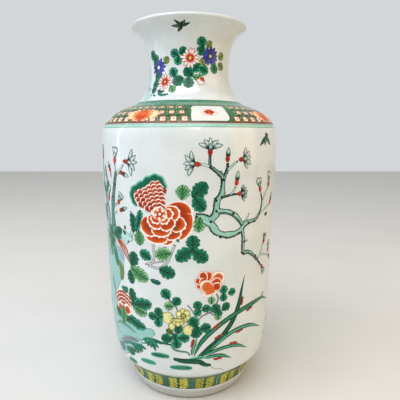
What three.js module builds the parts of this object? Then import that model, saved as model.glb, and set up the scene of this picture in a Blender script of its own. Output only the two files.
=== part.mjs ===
// A tall shouldered porcelain vase, thrown in sections and luted together with slip.
// Millimetres, +Z up, origin at the centre of the foot on the table.
//
// The potter throws the neck, the shoulder, two lengths of body and the foot one by one and trims
// a stepped lip on each: the lower section has a spigot on the inside of its wall, the upper one a
// skirt that drops round it. Slip joins the two, and the floor slab is luted on a ledge in the foot.
import * as THREE from "three";

// Heights of the sections, from the table upwards
const FOOT_HEIGHT = 32;
const LOWER_BODY_HEIGHT = 158;
const UPPER_BODY_HEIGHT = 146;
const SHOULDER_HEIGHT = 44;
const NECK_HEIGHT = 80;

// Outer radii
const FOOT_RADIUS = 74.5;
const FOOT_TOP_RADIUS = 86;
const HEEL_RADIUS = 101.2;
const WAIST_RADIUS = 109.2;
const BELLY_RADIUS = 112.5;
const SHOULDER_EDGE_RADIUS = 109.8;
const SHOULDER_FOLD_RADIUS = 69;
const NECK_SEAM_RADIUS = 56.3;
const NECK_RADIUS = 50.4;
const MOUTH_RADIUS = 72;

// Where the outline turns, measured inside its own section
const HEEL_RISE = 22; // from the foot's top to where the body stands upright
const HEEL_TURN_RISE = 13.2; // from the foot's top to where the heel turns upwards
const HEEL_TURN_INSET = 3; // how far in from the heel's radius that turn begins
const BELLY_DROP = 28; // from the top of the body down to its widest place
const SHOULDER_FOLD_RISE = 29.5; // from the body to where the shoulder turns up into the neck
const NECK_WAIST_RISE = 28; // from the neck's seam to its narrowest place

// Walls
const BODY_WALL = 7;
const NECK_WALL = 5.4;
const LIP_ROLL_RADIUS = 2;
const FOOT_RIM_WIDTH = 8;
const FOOT_EDGE_BEVEL = 1;
const RECESS_DEPTH = 21;
const RECESS_TAPER = 1.5;
const SLAB_THICKNESS = 9;
const LEDGE_WIDTH = 7;

// The luted joints
const LAP_HEIGHT = 4; // how far a spigot stands up inside the skirt above it
const SLIP_THICKNESS = 1;
const CLEARANCE = 0.3;

// How finely the turned surfaces are divided
const SEGMENTS_ROUND = 48;

// Seam heights follow from the sections
const FOOT_SEAM = FOOT_HEIGHT;
const WAIST_SEAM = FOOT_SEAM + LOWER_BODY_HEIGHT;
const SHOULDER_SEAM = WAIST_SEAM + UPPER_BODY_HEIGHT;
const NECK_SEAM = SHOULDER_SEAM + SHOULDER_HEIGHT;
const MOUTH_HEIGHT = NECK_SEAM + NECK_HEIGHT;

const glaze = new THREE.MeshStandardMaterial({ color: 0xe9e8df, roughness: 0.12, metalness: 0 });
const biscuit = new THREE.MeshStandardMaterial({ color: 0xd9cfbd, roughness: 0.85, metalness: 0 });
const slip = new THREE.MeshStandardMaterial({ color: 0xe2dccd, roughness: 0.9, metalness: 0 });

const point = (radius, height) => new THREE.Vector2(radius, height);

// Points along a cubic curve that leaves start and reaches end by way of two handles
function sweep(start, startHandle, endHandle, end, steps) {
  return new THREE.CubicBezierCurve(start, startHandle, endHandle, end).getPoints(steps);
}

// Joins runs of points end to end, leaving out the point that two runs share
function chain(...runs) {
  return runs.flatMap((run, i) => (i === 0 ? run : run.slice(1)));
}

// The roll of the lip, from under the flare round its edge to the inside
const LIP_START = THREE.MathUtils.degToRad(-60);
const LIP_STEPS = 6;
const lipCentre = point(MOUTH_RADIUS - LIP_ROLL_RADIUS, MOUTH_HEIGHT - LIP_ROLL_RADIUS);
const lipPoint = (angle) =>
  point(
    lipCentre.x + LIP_ROLL_RADIUS * Math.cos(angle),
    lipCentre.y + LIP_ROLL_RADIUS * Math.sin(angle),
  );
const lip = Array.from({ length: LIP_STEPS + 1 }, (_, i) =>
  lipPoint(LIP_START + (Math.PI * i) / LIP_STEPS),
);

// The outside of the wall, from the foot's top to the lip
const footTop = point(FOOT_TOP_RADIUS, FOOT_SEAM);
const heelTurn = point(HEEL_RADIUS - HEEL_TURN_INSET, FOOT_SEAM + HEEL_TURN_RISE);
const heel = point(HEEL_RADIUS, FOOT_SEAM + HEEL_RISE);
const waist = point(WAIST_RADIUS, WAIST_SEAM);
const belly = point(BELLY_RADIUS, SHOULDER_SEAM - BELLY_DROP);
const shoulderEdge = point(SHOULDER_EDGE_RADIUS, SHOULDER_SEAM);
const fold = point(SHOULDER_FOLD_RADIUS, SHOULDER_SEAM + SHOULDER_FOLD_RISE);
const neckSeam = point(NECK_SEAM_RADIUS, NECK_SEAM);
const neckWaist = point(NECK_RADIUS, NECK_SEAM + NECK_WAIST_RISE);

const STRAIGHT_HANDLE = 0.34; // how far a handle lies along a nearly straight run
const lift = (p, run, radial = 0) => point(p.x + radial, p.y + run);

const lowerRun = (waist.y - heel.y) * STRAIGHT_HANDLE;
const upperRun = (belly.y - waist.y) * STRAIGHT_HANDLE;
const foldRun = fold.x - neckSeam.x;
const flareRun = lip[0].y - neckWaist.y;
const heelSpread = (waist.x - heel.x) * 0.97;

// The way that the flare runs where it meets the lip's roll
const mouthRun = point(Math.cos(LIP_START + Math.PI / 2), Math.sin(LIP_START + Math.PI / 2));

const outside = chain(
  sweep(footTop, lift(footTop, 5, 4), lift(heelTurn, -3, -3.8), heelTurn, 3),
  sweep(heelTurn, lift(heelTurn, 1.6, 1.8), lift(heel, -4.5, -0.9), heel, 3),
  sweep(heel, lift(heel, lowerRun, heelSpread), lift(waist, -lowerRun, -1), waist, 4),
  sweep(waist, lift(waist, upperRun, 1), lift(belly, -upperRun), belly, 2),
  sweep(
    belly,
    lift(belly, BELLY_DROP * 0.5),
    lift(shoulderEdge, -BELLY_DROP * 0.16, (belly.x - shoulderEdge.x) * 0.8),
    shoulderEdge,
    4,
  ),
  sweep(
    shoulderEdge,
    lift(shoulderEdge, SHOULDER_FOLD_RISE * 0.74, -6.4),
    lift(fold, -SHOULDER_FOLD_RISE * 0.09, 2.4),
    fold,
    7,
  ),
  sweep(fold, lift(fold, foldRun * 0.32, -foldRun * 0.4), lift(neckSeam, -5.8, 1.7), neckSeam, 3),
  sweep(
    neckSeam,
    lift(neckSeam, NECK_WAIST_RISE * 0.32, -3.4),
    lift(neckWaist, -NECK_WAIST_RISE * 0.53),
    neckWaist,
    3,
  ),
  sweep(
    neckWaist,
    lift(neckWaist, flareRun * 0.9),
    lip[0].clone().addScaledVector(mouthRun, -LIP_ROLL_RADIUS),
    lip[0],
    6,
  ),
);

// The inside of the wall: each outside point moved in square to the surface. The wall thins from
// the body's to the neck's across the shoulder, and again from there to the lip's roll.
function wallAt(height) {
  const up = THREE.MathUtils.smoothstep(height, SHOULDER_SEAM, NECK_SEAM);
  const out = THREE.MathUtils.smoothstep(height, NECK_SEAM + NECK_WAIST_RISE, lip[0].y);
  const wall = THREE.MathUtils.lerp(BODY_WALL, NECK_WALL, up);
  return THREE.MathUtils.lerp(wall, 2 * LIP_ROLL_RADIUS, out);
}

function movedIn(p, i) {
  const before = outside[Math.max(i - 1, 0)];
  const after = outside[Math.min(i + 1, outside.length - 1)];
  const along = i === outside.length - 1 ? mouthRun : after.clone().sub(before);
  const inward = point(-along.y, along.x).normalize();
  return p.clone().addScaledVector(inward, wallAt(p.y));
}

// Inside a tight turn the moved points would cross over, so those too near the outside are left out
const TOO_NEAR = 0.97;
const inside = outside
  .map(movedIn)
  .filter((p) => outside.every((q) => p.distanceTo(q) > wallAt(q.y) * TOO_NEAR));

// Radius of a run of points at a height
function radiusAt(run, height) {
  const i = Math.max(1, run.findIndex((p) => p.y >= height));
  const [a, b] = [run[i - 1], run[i]];
  return THREE.MathUtils.mapLinear(height, a.y, b.y, a.x, b.x);
}

// The part of a run between two heights, with a point exactly at each
function between(run, low, high) {
  const inner = run.filter((p) => p.y > low + CLEARANCE && p.y < high - CLEARANCE);
  return [point(radiusAt(run, low), low), ...inner, point(radiusAt(run, high), high)];
}

// A stepped joint at a height: where its spigot, its slip and its skirt lie across the wall
function joint(height) {
  const top = height + LAP_HEIGHT;
  const skirtSide = radiusAt(outside, top + SLIP_THICKNESS);
  const spigotSide = radiusAt(inside, height);
  const middle = (skirtSide + spigotSide) / 2;
  const half = SLIP_THICKNESS / 2 + CLEARANCE;
  return {
    height,
    spigotTop: top,
    ledge: top + SLIP_THICKNESS,
    spigotRadius: middle - half,
    slipInner: middle - half + CLEARANCE,
    slipOuter: middle + half - CLEARANCE,
    skirtRadius: middle + half,
  };
}

const footJoint = joint(FOOT_SEAM);
const waistJoint = joint(WAIST_SEAM);
const shoulderJoint = joint(SHOULDER_SEAM);
const neckJoint = joint(NECK_SEAM);

// The step on top of a lower section, from the outside in
const spigot = (j) => [
  point(j.spigotRadius, j.height),
  point(j.spigotRadius, j.spigotTop),
];

// The step under an upper section, from the inside out
const skirt = (j) => [
  point(j.skirtRadius, j.ledge),
  point(j.skirtRadius, j.height),
];

// A closed outline, anticlockwise with the axis on its left, turned round the vase's axis
function turned(name, outline, material) {
  const closed = [...outline, outline[0]];
  const geometry = new THREE.LatheGeometry(closed, SEGMENTS_ROUND);
  geometry.rotateX(Math.PI / 2);
  const mesh = new THREE.Mesh(geometry, material);
  mesh.name = name;
  return mesh;
}

// A length of wall between two joints
function section(name, lower, upper) {
  return turned(
    name,
    [
      ...between(outside, lower.height, upper.height),
      ...spigot(upper),
      ...between(inside, lower.ledge, upper.spigotTop).reverse(),
      ...skirt(lower),
    ],
    glaze,
  );
}

function neck() {
  const insideRun = inside.filter((p) => p.y > neckJoint.ledge + CLEARANCE).slice(0, -1);
  return turned(
    "neck",
    [
      ...between(outside, neckJoint.height, lip[0].y),
      ...lip.slice(1),
      ...insideRun.reverse(),
      point(radiusAt(inside, neckJoint.ledge), neckJoint.ledge),
      ...skirt(neckJoint),
    ],
    glaze,
  );
}

// The slip in a stepped joint: a web round the spigot and a flange over its top
function slipRing(name, j) {
  const rim = radiusAt(inside, j.spigotTop);
  return turned(
    name,
    [
      point(j.slipOuter, j.height),
      point(j.slipOuter, j.ledge),
      point(rim, j.ledge),
      point(rim, j.spigotTop),
      point(j.slipInner, j.spigotTop),
      point(j.slipInner, j.height),
    ],
    slip,
  );
}

// The foot: a tapered ring with a stepped joint on top and a ledge inside for the floor slab
const slabRadius = FOOT_RADIUS - FOOT_RIM_WIDTH - RECESS_TAPER + LEDGE_WIDTH;
const recessTopRadius = slabRadius - LEDGE_WIDTH;
const slabBottom = RECESS_DEPTH + SLIP_THICKNESS;

function footRing() {
  const bevelOut = FOOT_EDGE_BEVEL * ((FOOT_TOP_RADIUS - FOOT_RADIUS) / FOOT_HEIGHT);
  return turned(
    "foot_ring",
    [
      point(FOOT_RADIUS - FOOT_EDGE_BEVEL, 0),
      point(FOOT_RADIUS + bevelOut, FOOT_EDGE_BEVEL),
      footTop,
      ...spigot(footJoint),
      point(slabRadius + CLEARANCE, footJoint.spigotTop),
      point(slabRadius + CLEARANCE, RECESS_DEPTH),
      point(recessTopRadius, RECESS_DEPTH),
      point(recessTopRadius + RECESS_TAPER, 0),
    ],
    biscuit,
  );
}

function baseSlab() {
  const top = slabBottom + SLAB_THICKNESS;
  return turned(
    "base_slab",
    [point(0, slabBottom), point(slabRadius, slabBottom), point(slabRadius, top), point(0, top)],
    glaze,
  );
}

function baseSlip() {
  return turned(
    "base_slip",
    [
      point(slabRadius, RECESS_DEPTH),
      point(slabRadius, slabBottom),
      point(recessTopRadius, slabBottom),
      point(recessTopRadius, RECESS_DEPTH),
    ],
    slip,
  );
}

const vase = new THREE.Group();
vase.add(
  footRing(),
  baseSlip(),
  baseSlab(),
  slipRing("foot_slip", footJoint),
  section("lower_body", footJoint, waistJoint),
  slipRing("waist_slip", waistJoint),
  section("upper_body", waistJoint, shoulderJoint),
  slipRing("shoulder_slip", shoulderJoint),
  section("shoulder", shoulderJoint, neckJoint),
  slipRing("neck_slip", neckJoint),
  neck(),
);

export default vase;
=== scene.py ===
# %% [markdown]
# A tall porcelain vase painted in famille verte enamels.
#
# The pot was thrown in pieces, which were luted together with slip and glazed as one. The frame
# brings those pieces in at their real size and place. What is made here is what the eye sees: a
# smooth turned skin for each piece, and the painting, laid on it stroke by stroke as thin raised
# enamel, because overglaze enamel stands a little proud of the glaze under it.

# %% Load the frame and keep its box
import math
import random
from bisect import bisect_right

import bmesh
import bpy
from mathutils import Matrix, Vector


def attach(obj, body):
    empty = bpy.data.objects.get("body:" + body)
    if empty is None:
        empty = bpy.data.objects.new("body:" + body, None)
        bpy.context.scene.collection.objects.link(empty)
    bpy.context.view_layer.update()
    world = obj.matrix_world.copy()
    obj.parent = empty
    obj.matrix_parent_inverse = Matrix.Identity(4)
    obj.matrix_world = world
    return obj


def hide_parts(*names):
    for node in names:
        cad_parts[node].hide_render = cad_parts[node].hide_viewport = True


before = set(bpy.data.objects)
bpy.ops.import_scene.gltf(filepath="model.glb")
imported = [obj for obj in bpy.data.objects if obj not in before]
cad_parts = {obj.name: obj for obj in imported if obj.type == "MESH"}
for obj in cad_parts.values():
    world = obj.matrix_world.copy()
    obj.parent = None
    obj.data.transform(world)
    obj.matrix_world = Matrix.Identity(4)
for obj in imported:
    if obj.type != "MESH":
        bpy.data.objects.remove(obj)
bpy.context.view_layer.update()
MM = 0.001  # one millimetre in metres
BODY = "root"
random.seed(7)

# %% [markdown]
# The photograph was taken from close by and from a little above the shoulder, so the vase narrows
# downwards more than it really does. The camera stands where the outline and the round bands say
# it stood, with a lens as wide as a telephone's.

# %% Camera
CAMERA_PLACE = Vector((13.8, -529.5, 329.6)) * MM
LOOK_DOWN = math.radians(9.75)
SENSOR_MM = 36
PICTURE_SIDE = 400  # pixels of the square photograph
FOCAL_SHARE = 398 / PICTURE_SIDE  # focal length over the picture's width
SHIFT_UP = 2.1 / PICTURE_SIDE  # shift of the picture over its width

camera = bpy.data.objects.new("camera", bpy.data.cameras.new("camera"))
camera.location = CAMERA_PLACE
camera.rotation_euler = (math.pi / 2 - LOOK_DOWN, 0, 0)
camera.data.sensor_width = SENSOR_MM
camera.data.lens = SENSOR_MM * FOCAL_SHARE
camera.data.shift_y = SHIFT_UP
camera.data.clip_start = 0.01
bpy.context.scene.collection.objects.link(camera)
bpy.context.scene.camera = camera
bpy.context.scene.view_settings.view_transform = "Standard"
print("lens", round(camera.data.lens, 1), "mm")

# %% [markdown]
# Colours are written as a painter would pick them, in sRGB hex, and one function turns them to
# the linear values that shaders work in. One more function adds a node with its settings and its
# links, and every finish below is built with it. The arithmetic between nodes, soft steps, mixed
# colours, noise and scattered spots each have a function too.

# %% Colour and node helpers
def linear(hex_colour):
    """sRGB hex to linear RGBA."""
    parts = [int(hex_colour[i : i + 2], 16) / 255 for i in (1, 3, 5)]
    return [c / 12.92 if c <= 0.04045 else ((c + 0.055) / 1.055) ** 2.4 for c in parts] + [1.0]


def add_node(owner, kind, links=None, values=None, **settings):
    """Adds a node to a material or a world. Settings are its properties, values fill sockets, and
    links feed its sockets."""
    node = owner.node_tree.nodes.new(kind)
    for name, value in settings.items():
        setattr(node, name, value)
    for socket, value in (values or {}).items():
        node.inputs[socket].default_value = value
    for socket, source in (links or {}).items():
        owner.node_tree.links.new(source, node.inputs[socket])
    return node


def new_material(name, **values):
    """A node material, with its shader's plain values set on the shader itself."""
    material = bpy.data.materials.new(name)
    material.use_nodes = True
    shader = material.node_tree.nodes["Principled BSDF"]
    for socket, value in values.items():
        shader.inputs[socket.replace("_", " ")].default_value = value
    return material, shader


def sum_up(owner, operation, *terms):
    """One step of arithmetic between sockets or numbers, as a socket."""
    node = add_node(owner, "ShaderNodeMath", operation=operation)
    for slot_number, term in enumerate(terms):
        if isinstance(term, (int, float)):
            node.inputs[slot_number].default_value = term
        else:
            owner.node_tree.links.new(term, node.inputs[slot_number])
    return node.outputs[0]


def fade(material, value, start, end):
    """1 where value is below start, falling smoothly to 0 at end."""
    node = add_node(
        material, "ShaderNodeMapRange", {"Value": value},
        {"From Min": start, "From Max": end, "To Min": 1.0, "To Max": 0.0},
        interpolation_type="SMOOTHSTEP",
    )
    return node.outputs["Result"]


def blend(material, share, under, over):
    """Mixes two colours, given as sockets or hex, by a share from 0 to 1."""
    node = add_node(material, "ShaderNodeMix", data_type="RGBA")
    for socket, value in ((0, share), (6, under), (7, over)):
        if isinstance(value, str):
            node.inputs[socket].default_value = linear(value)
        elif isinstance(value, (int, float)):
            node.inputs[socket].default_value = value
        else:
            material.node_tree.links.new(value, node.inputs[socket])
    return node.outputs[2]


def noise(material, size_mm, detail=2.0, roughness=0.5):
    """Noise fixed to the object, with blotches about size_mm across."""
    place = add_node(material, "ShaderNodeTexCoord").outputs["Object"]
    node = add_node(
        material, "ShaderNodeTexNoise", {"Vector": place},
        {"Scale": 1 / (size_mm * MM), "Detail": detail, "Roughness": roughness},
    )
    return node.outputs["Fac"]


def scattered_spots(material, apart_mm, start, end):
    """1 on round spots about apart_mm apart. They fade out between two shares of that distance."""
    place = add_node(material, "ShaderNodeTexCoord").outputs["Object"]
    cells = add_node(
        material, "ShaderNodeTexVoronoi", {"Vector": place}, {"Scale": 1 / (apart_mm * MM)}
    )
    return fade(material, cells.outputs["Distance"], start, end)


def finished(material, shader, colour, height, strength, depth_mm):
    """Gives the shader its colour and a bump of some depth, and returns the material."""
    bump = add_node(
        material, "ShaderNodeBump", {"Height": height},
        {"Strength": strength, "Distance": depth_mm * MM},
    )
    material.node_tree.links.new(colour, shader.inputs["Base Color"])
    material.node_tree.links.new(bump.outputs["Normal"], shader.inputs["Normal"])
    return material


print("helpers ready")

# %% [markdown]
# Glazed porcelain is a white body under a clear, glassy glaze with a faint cool cast. The glaze
# runs as it melts, so its surface waves very gently, the throwing rings show through it as low
# ridges a few millimetres apart, and iron in the clay leaves a few pin-sized brown specks.
# Porcelain has an index of about 1.5 and a fired glaze is almost mirror smooth.

# %% Glazed porcelain and bare clay
GLAZE_WAVE_MM = 30
GLAZE_MOTTLE_MM = 50
THROWING_RING_MM = 7
SPECK_APART_MM = 11
SPECK_FADE = (0.0225, 0.072)
SPECK_DEPTH = 0.6
FOOT_SHADE_MM = (11, 18)  # painted shade: the glaze is darkened below the first height, and clean above
FOOT_SHADE_DEPTH = 0.8
CLAY_GRAIN_MM = 1.2


def glazed_porcelain(name, light, dark, speck, foot_shade_colour):
    """White porcelain under a clear glaze, mottled between two close colours, with painted shade
    darkening it near the foot.
    """
    material, shader = new_material(
        name, Roughness=0.09, IOR=1.5, Coat_Weight=0.35, Coat_Roughness=0.04, Coat_IOR=1.5
    )
    mottle = noise(material, GLAZE_MOTTLE_MM, 4.0, 0.6)
    colour = blend(material, fade(material, mottle, 0.35, 0.65), light, dark)
    specks = scattered_spots(material, SPECK_APART_MM, *SPECK_FADE)
    colour = blend(material, sum_up(material, "MULTIPLY", specks, SPECK_DEPTH), colour, speck)
    place = add_node(material, "ShaderNodeTexCoord").outputs["Object"]
    height = add_node(material, "ShaderNodeSeparateXYZ", {"Vector": place}).outputs["Z"]
    # painted shade: low on the foot the glaze is pulled towards a darker colour, standing in for the
    # shadow there
    shade_near_foot = fade(material, height, FOOT_SHADE_MM[0] * MM, FOOT_SHADE_MM[1] * MM)
    colour = blend(material, sum_up(material, "MULTIPLY", shade_near_foot, FOOT_SHADE_DEPTH), colour, foot_shade_colour)
    turns = sum_up(material, "MULTIPLY", height, math.tau / (THROWING_RING_MM * MM))
    rings = sum_up(material, "SINE", turns)
    wave = sum_up(material, "MULTIPLY_ADD", rings, 0.1, noise(material, GLAZE_WAVE_MM, 1.0))
    return finished(material, shader, colour, wave, 0.2, 0.5)


def bare_clay(name, light, dark, roughness):
    """Fired clay without a glaze, with a fine grain."""
    material, shader = new_material(name, Roughness=roughness, IOR=1.5)
    grain = noise(material, CLAY_GRAIN_MM, 3.0, 0.7)
    colour = blend(material, grain, light, dark)
    return finished(material, shader, colour, grain, 0.4, 0.15)


# the last colour is the painted shade at the foot
porcelain = glazed_porcelain("porcelain_clear_glaze", "#e4e8e6", "#dadfdb", "#8b7a5e", "#aeaca1")
biscuit = bare_clay("porcelain_biscuit", "#cfc2ac", "#a8967c", 0.75)
slip_clay = bare_clay("luting_slip_fired", "#d8d2c4", "#c2baa9", 0.6)
print("clay and glaze:", porcelain.name, biscuit.name, slip_clay.name)

# %% [markdown]
# Each thrown piece is a ring with a stepped joint above and below. The frame holds it in flat
# facets. A turned piece is spun from half of its section, so the section is read from the
# frame's own mesh where it crosses the front, its curved stretches are filled in with a smooth
# curve, and it is spun again in far more steps. Where one piece's wall runs on into the next,
# the curve is led by the neighbour's points too, so that the glaze shows no seam.

# %% Read the sections and the wall they share
SPIN_STEPS = 192
SHARP_TURN = math.radians(38)
SAME_POINT_MM = 0.02
SECTION_STEP_MM = 2.5
WALL_NODES = ("foot_ring", "lower_body", "upper_body", "shoulder", "neck")


def half_section(node):
    """The closed outline of a turned piece, as (radius, height) in mm, in order round it."""
    bm = bmesh.new()
    bm.from_mesh(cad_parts[node].data)
    near = SAME_POINT_MM * MM
    bmesh.ops.remove_doubles(bm, verts=bm.verts, dist=near)
    on_cut = {v for v in bm.verts if abs(v.co.x) < near and v.co.y < near}
    edges = [e for e in bm.edges if e.verts[0] in on_cut and e.verts[1] in on_cut]
    on_axis = [v for v in on_cut if v.co.y > -near]
    line = [min(on_axis or on_cut, key=lambda v: (v.co.z, v.co.y))]
    while True:
        ways = [e.other_vert(line[-1]) for e in edges if line[-1] in e.verts]
        ways = [v for v in ways if v not in line]
        if not ways:
            break
        line.append(min(ways, key=lambda v: (v.co - line[-1].co).length))
    outline = [(round(abs(v.co.y) / MM, 3), round(v.co.z / MM, 3)) for v in line]
    bm.free()
    return outline


def turn_at(before, here, after):
    """How far a line turns at a point, in radians."""
    if before == here or here == after:
        return 0.0
    first = math.atan2(here[1] - before[1], here[0] - before[0])
    second = math.atan2(after[1] - here[1], after[0] - here[0])
    return abs((second - first + math.pi) % math.tau - math.pi)


def heading(before, here, after):
    """The direction of a smooth curve at a point, by its neighbours' distances."""
    back, on = math.dist(before, here), math.dist(here, after)
    if back == 0 or on == 0:
        far = (back + on) or 1.0
        return [(c - a) / far for a, c in zip(before, after)]
    return [((b - a) / back * on + (c - b) / on * back) / (back + on)
            for a, b, c in zip(before, here, after)]


def curve_between(before, start, end, after, steps):
    """Points of a smooth curve from start up to, not including, end."""
    length = math.dist(start, end)
    leave, arrive = heading(before, start, end), heading(start, end, after)
    points = []
    for step in range(steps):
        t = step / steps
        h = (2 * t**3 - 3 * t**2 + 1, t**3 - 2 * t**2 + t, 3 * t**2 - 2 * t**3, t**3 - t**2)
        points.append(tuple(
            h[0] * a + h[1] * length * m + h[2] * b + h[3] * length * n
            for a, m, b, n in zip(start, leave, end, arrive)
        ))
    return points


def widest(height):
    """The largest radius of the thrown pieces at a height, in mm."""
    best = 0.0
    for node in WALL_NODES:
        outline = sections[node]
        for (r0, z0), (r1, z1) in zip(outline, outline[1:] + outline[:1]):
            if z0 != z1 and min(z0, z1) <= height <= max(z0, z1):
                best = max(best, r0 + (r1 - r0) * (height - z0) / (z1 - z0))
    return best


sections = {node: half_section(node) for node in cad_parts}
wall_corners = sorted(
    {p for node in WALL_NODES for p in sections[node] if p[0] > widest(p[1]) - 0.05},
    key=lambda p: p[1],
)
print(len(sections), "sections read,", len(wall_corners), "corners up the wall")

# %% [markdown]
# Where the wall was cut into facets, a smooth curve is laid back through their corners. A sharp
# corner, as at a step joint, is left as it is.

# %% Smooth the curves
def wall_neighbours(low, high):
    """The wall's corners just below and just above two corners, given by their numbers."""
    return wall_corners[max(low - 1, 0)], wall_corners[min(high + 1, len(wall_corners) - 1)]


def led_curve(before, start, end, after):
    """Points from start up to, not including, end. The points round them lead the curve, unless
    the outline turns off sharply there. A straight stretch is one step."""
    if turn_at(before, start, end) > SHARP_TURN:
        before = start
    if turn_at(start, end, after) > SHARP_TURN:
        after = end
    straight = before == start and after == end
    steps = 1 if straight else math.ceil(math.dist(start, end) / SECTION_STEP_MM)
    return curve_between(before, start, end, after, max(1, steps))


def smooth_section(outline):
    """The outline with its curved stretches filled in."""
    points = []
    for place, start in enumerate(outline):
        before = outline[place - 1]
        end = outline[(place + 1) % len(outline)]
        after = outline[(place + 2) % len(outline)]
        if start in wall_corners and end in wall_corners:
            low, high = sorted((wall_corners.index(start), wall_corners.index(end)))
            below, above = wall_neighbours(low, high)
            before, after = (below, above) if start[1] < end[1] else (above, below)
        points += led_curve(before, start, end, after)
    return points


wall_line = []
for number, (start, end) in enumerate(zip(wall_corners, wall_corners[1:])):
    below, above = wall_neighbours(number, number + 1)
    wall_line += led_curve(below, start, end, above)
wall_line.append(wall_corners[-1])
print(len(wall_line), "points on the curve of the wall")

# %% [markdown]
# The skins are spun round the vase's axis in closed turns, so there is no seam, and the step
# joints keep their sharp edges. Only the foot's standing rim is left unglazed, because a glazed
# foot would fuse to the kiln shelf.

# %% Spin the skins
BARE_RIM_MM = 1.2


def spun_mesh(name, outline):
    """A closed mesh spun from an outline of (radius, height) in mm."""
    bm = bmesh.new()
    corners = [bm.verts.new((0, -r * MM, z * MM)) for r, z in outline]
    closed = outline[0][0] > SAME_POINT_MM
    pairs = list(zip(corners, corners[1:])) + ([(corners[-1], corners[0])] if closed else [])
    edges = [bm.edges.new(pair) for pair in pairs]
    bmesh.ops.spin(
        bm, geom=corners + edges, cent=(0, 0, 0), axis=(0, 0, 1), angle=math.tau,
        steps=SPIN_STEPS, use_merge=True,
    )
    bmesh.ops.remove_doubles(bm, verts=bm.verts, dist=0.2 * SAME_POINT_MM * MM)
    bmesh.ops.recalc_face_normals(bm, faces=bm.faces)
    for edge in bm.edges:
        edge.smooth = len(edge.link_faces) == 2 and edge.calc_face_angle(0) < SHARP_TURN
    for face in bm.faces:
        face.smooth = True
    mesh = bpy.data.meshes.new(name)
    bm.to_mesh(mesh)
    bm.free()
    return mesh


def add_piece(name, mesh, slot_name, *materials):
    """Puts a finished mesh into the scene as a piece that rides on the vase."""
    piece = bpy.data.objects.new(name, mesh)
    for material in materials:
        mesh.materials.append(material)
    bpy.context.scene.collection.objects.link(piece)
    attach(piece, BODY)
    return piece


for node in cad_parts:
    skin_mesh = spun_mesh(f"{node}_skin", smooth_section(sections[node]))
    if node.endswith("slip"):
        skin = add_piece(f"{node}_skin", skin_mesh, "luting_slip", slip_clay)
    else:
        skin = add_piece(f"{node}_skin", skin_mesh, "glazed_porcelain", porcelain, biscuit)
        for face in skin_mesh.polygons:
            face.material_index = int(face.center.z < BARE_RIM_MM * MM)
    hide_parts(node)
    print(skin.name, len(skin_mesh.polygons), "faces")

# %% [markdown]
# The painter works on the wall as if it were paper: so many degrees round from the front, and so
# many millimetres up. A place is therefore kept as an angle and a length up the curved wall, and
# one function turns it into a point just above the glaze. Round any such place, a small flat
# sheet of millimetres can be laid and turned, and flowers and leaves are drawn on that.

# %% Places on the wall
def running_length(points):
    """The length of a line up to each of its points."""
    gone = [0.0]
    for here, there in zip(points, points[1:]):
        gone.append(gone[-1] + math.dist(here, there))
    return gone


wall_along = running_length(wall_line)
wall_heights = [point[1] for point in wall_line]
side = {"turn": 0.0, "swap": {}}  # how far round the painter stands, and pigments exchanged there


def wall_at(along):
    """Radius, height and outward direction of the wall, by the length up it in mm."""
    place = min(max(bisect_right(wall_along, along) - 1, 0), len(wall_line) - 2)
    (r0, z0), (r1, z1) = wall_line[place], wall_line[place + 1]
    length = wall_along[place + 1] - wall_along[place]
    share = (along - wall_along[place]) / length
    dr, dz = (r1 - r0) / length, (z1 - z0) / length
    return r0 + (r1 - r0) * share, z0 + (z1 - z0) * share, dz, -dr


def along_at(height):
    """The length up the wall at a height."""
    place = min(max(bisect_right(wall_heights, height) - 1, 0), len(wall_line) - 2)
    z0, z1 = wall_heights[place], wall_heights[place + 1]
    share = (height - z0) / (z1 - z0)
    return wall_along[place] + (wall_along[place + 1] - wall_along[place]) * share


def on_wall(angle, along, lift):
    """The point at an angle round from the front and a length up the wall, lift mm above it."""
    radius, height, out, up = wall_at(along)
    radius, height = radius + lift * out, height + lift * up
    round_to = math.radians(angle + side["turn"])
    return Vector((radius * math.sin(round_to), -radius * math.cos(round_to), height)) * MM


def degrees_per_mm(along):
    """How many degrees round the vase one millimetre is, at a length up the wall."""
    return math.degrees(1 / wall_at(along)[0])


def spot(angle, height, turn=0.0, size=1.0):
    """A sheet of millimetres round a place: across and up it, turned anticlockwise by degrees."""
    middle = along_at(height)
    c, s = math.cos(math.radians(turn)), math.sin(math.radians(turn))

    def place(across, up):
        x, y = size * (across * c - up * s), size * (across * s + up * c)
        return angle + x * degrees_per_mm(middle + y), middle + y

    return place


def shifted(place, across, up, turn=0.0, size=1.0):
    """The same sheet with its origin moved and turned."""
    c, s = math.cos(math.radians(turn)), math.sin(math.radians(turn))
    return lambda x, y: place(across + size * (x * c - y * s), up + size * (x * s + y * c))


def aim(start, end):
    """A sheet at start whose up points to end, and the distance to it in mm."""
    low, high = along_at(start[1]), along_at(end[1])
    aside = (end[0] - start[0]) / degrees_per_mm((low + high) / 2)
    turn = math.degrees(math.atan2(-aside, high - low))
    return spot(start[0], start[1], turn), math.hypot(aside, high - low)


def up_wall(points):
    """Places given by height as places given by the length up the wall."""
    return [(angle, along_at(height)) for angle, height in points]


print("wall", round(wall_along[-1], 1), "mm long")

# %% [markdown]
# Every brush stroke is one primitive, a strip between a left and a right edge. A smooth curve is
# drawn through a few given places, as a hand would draw it, and cut into even steps.

# %% Follow a line
TRACE_STEPS = 12  # between two given points


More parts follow.
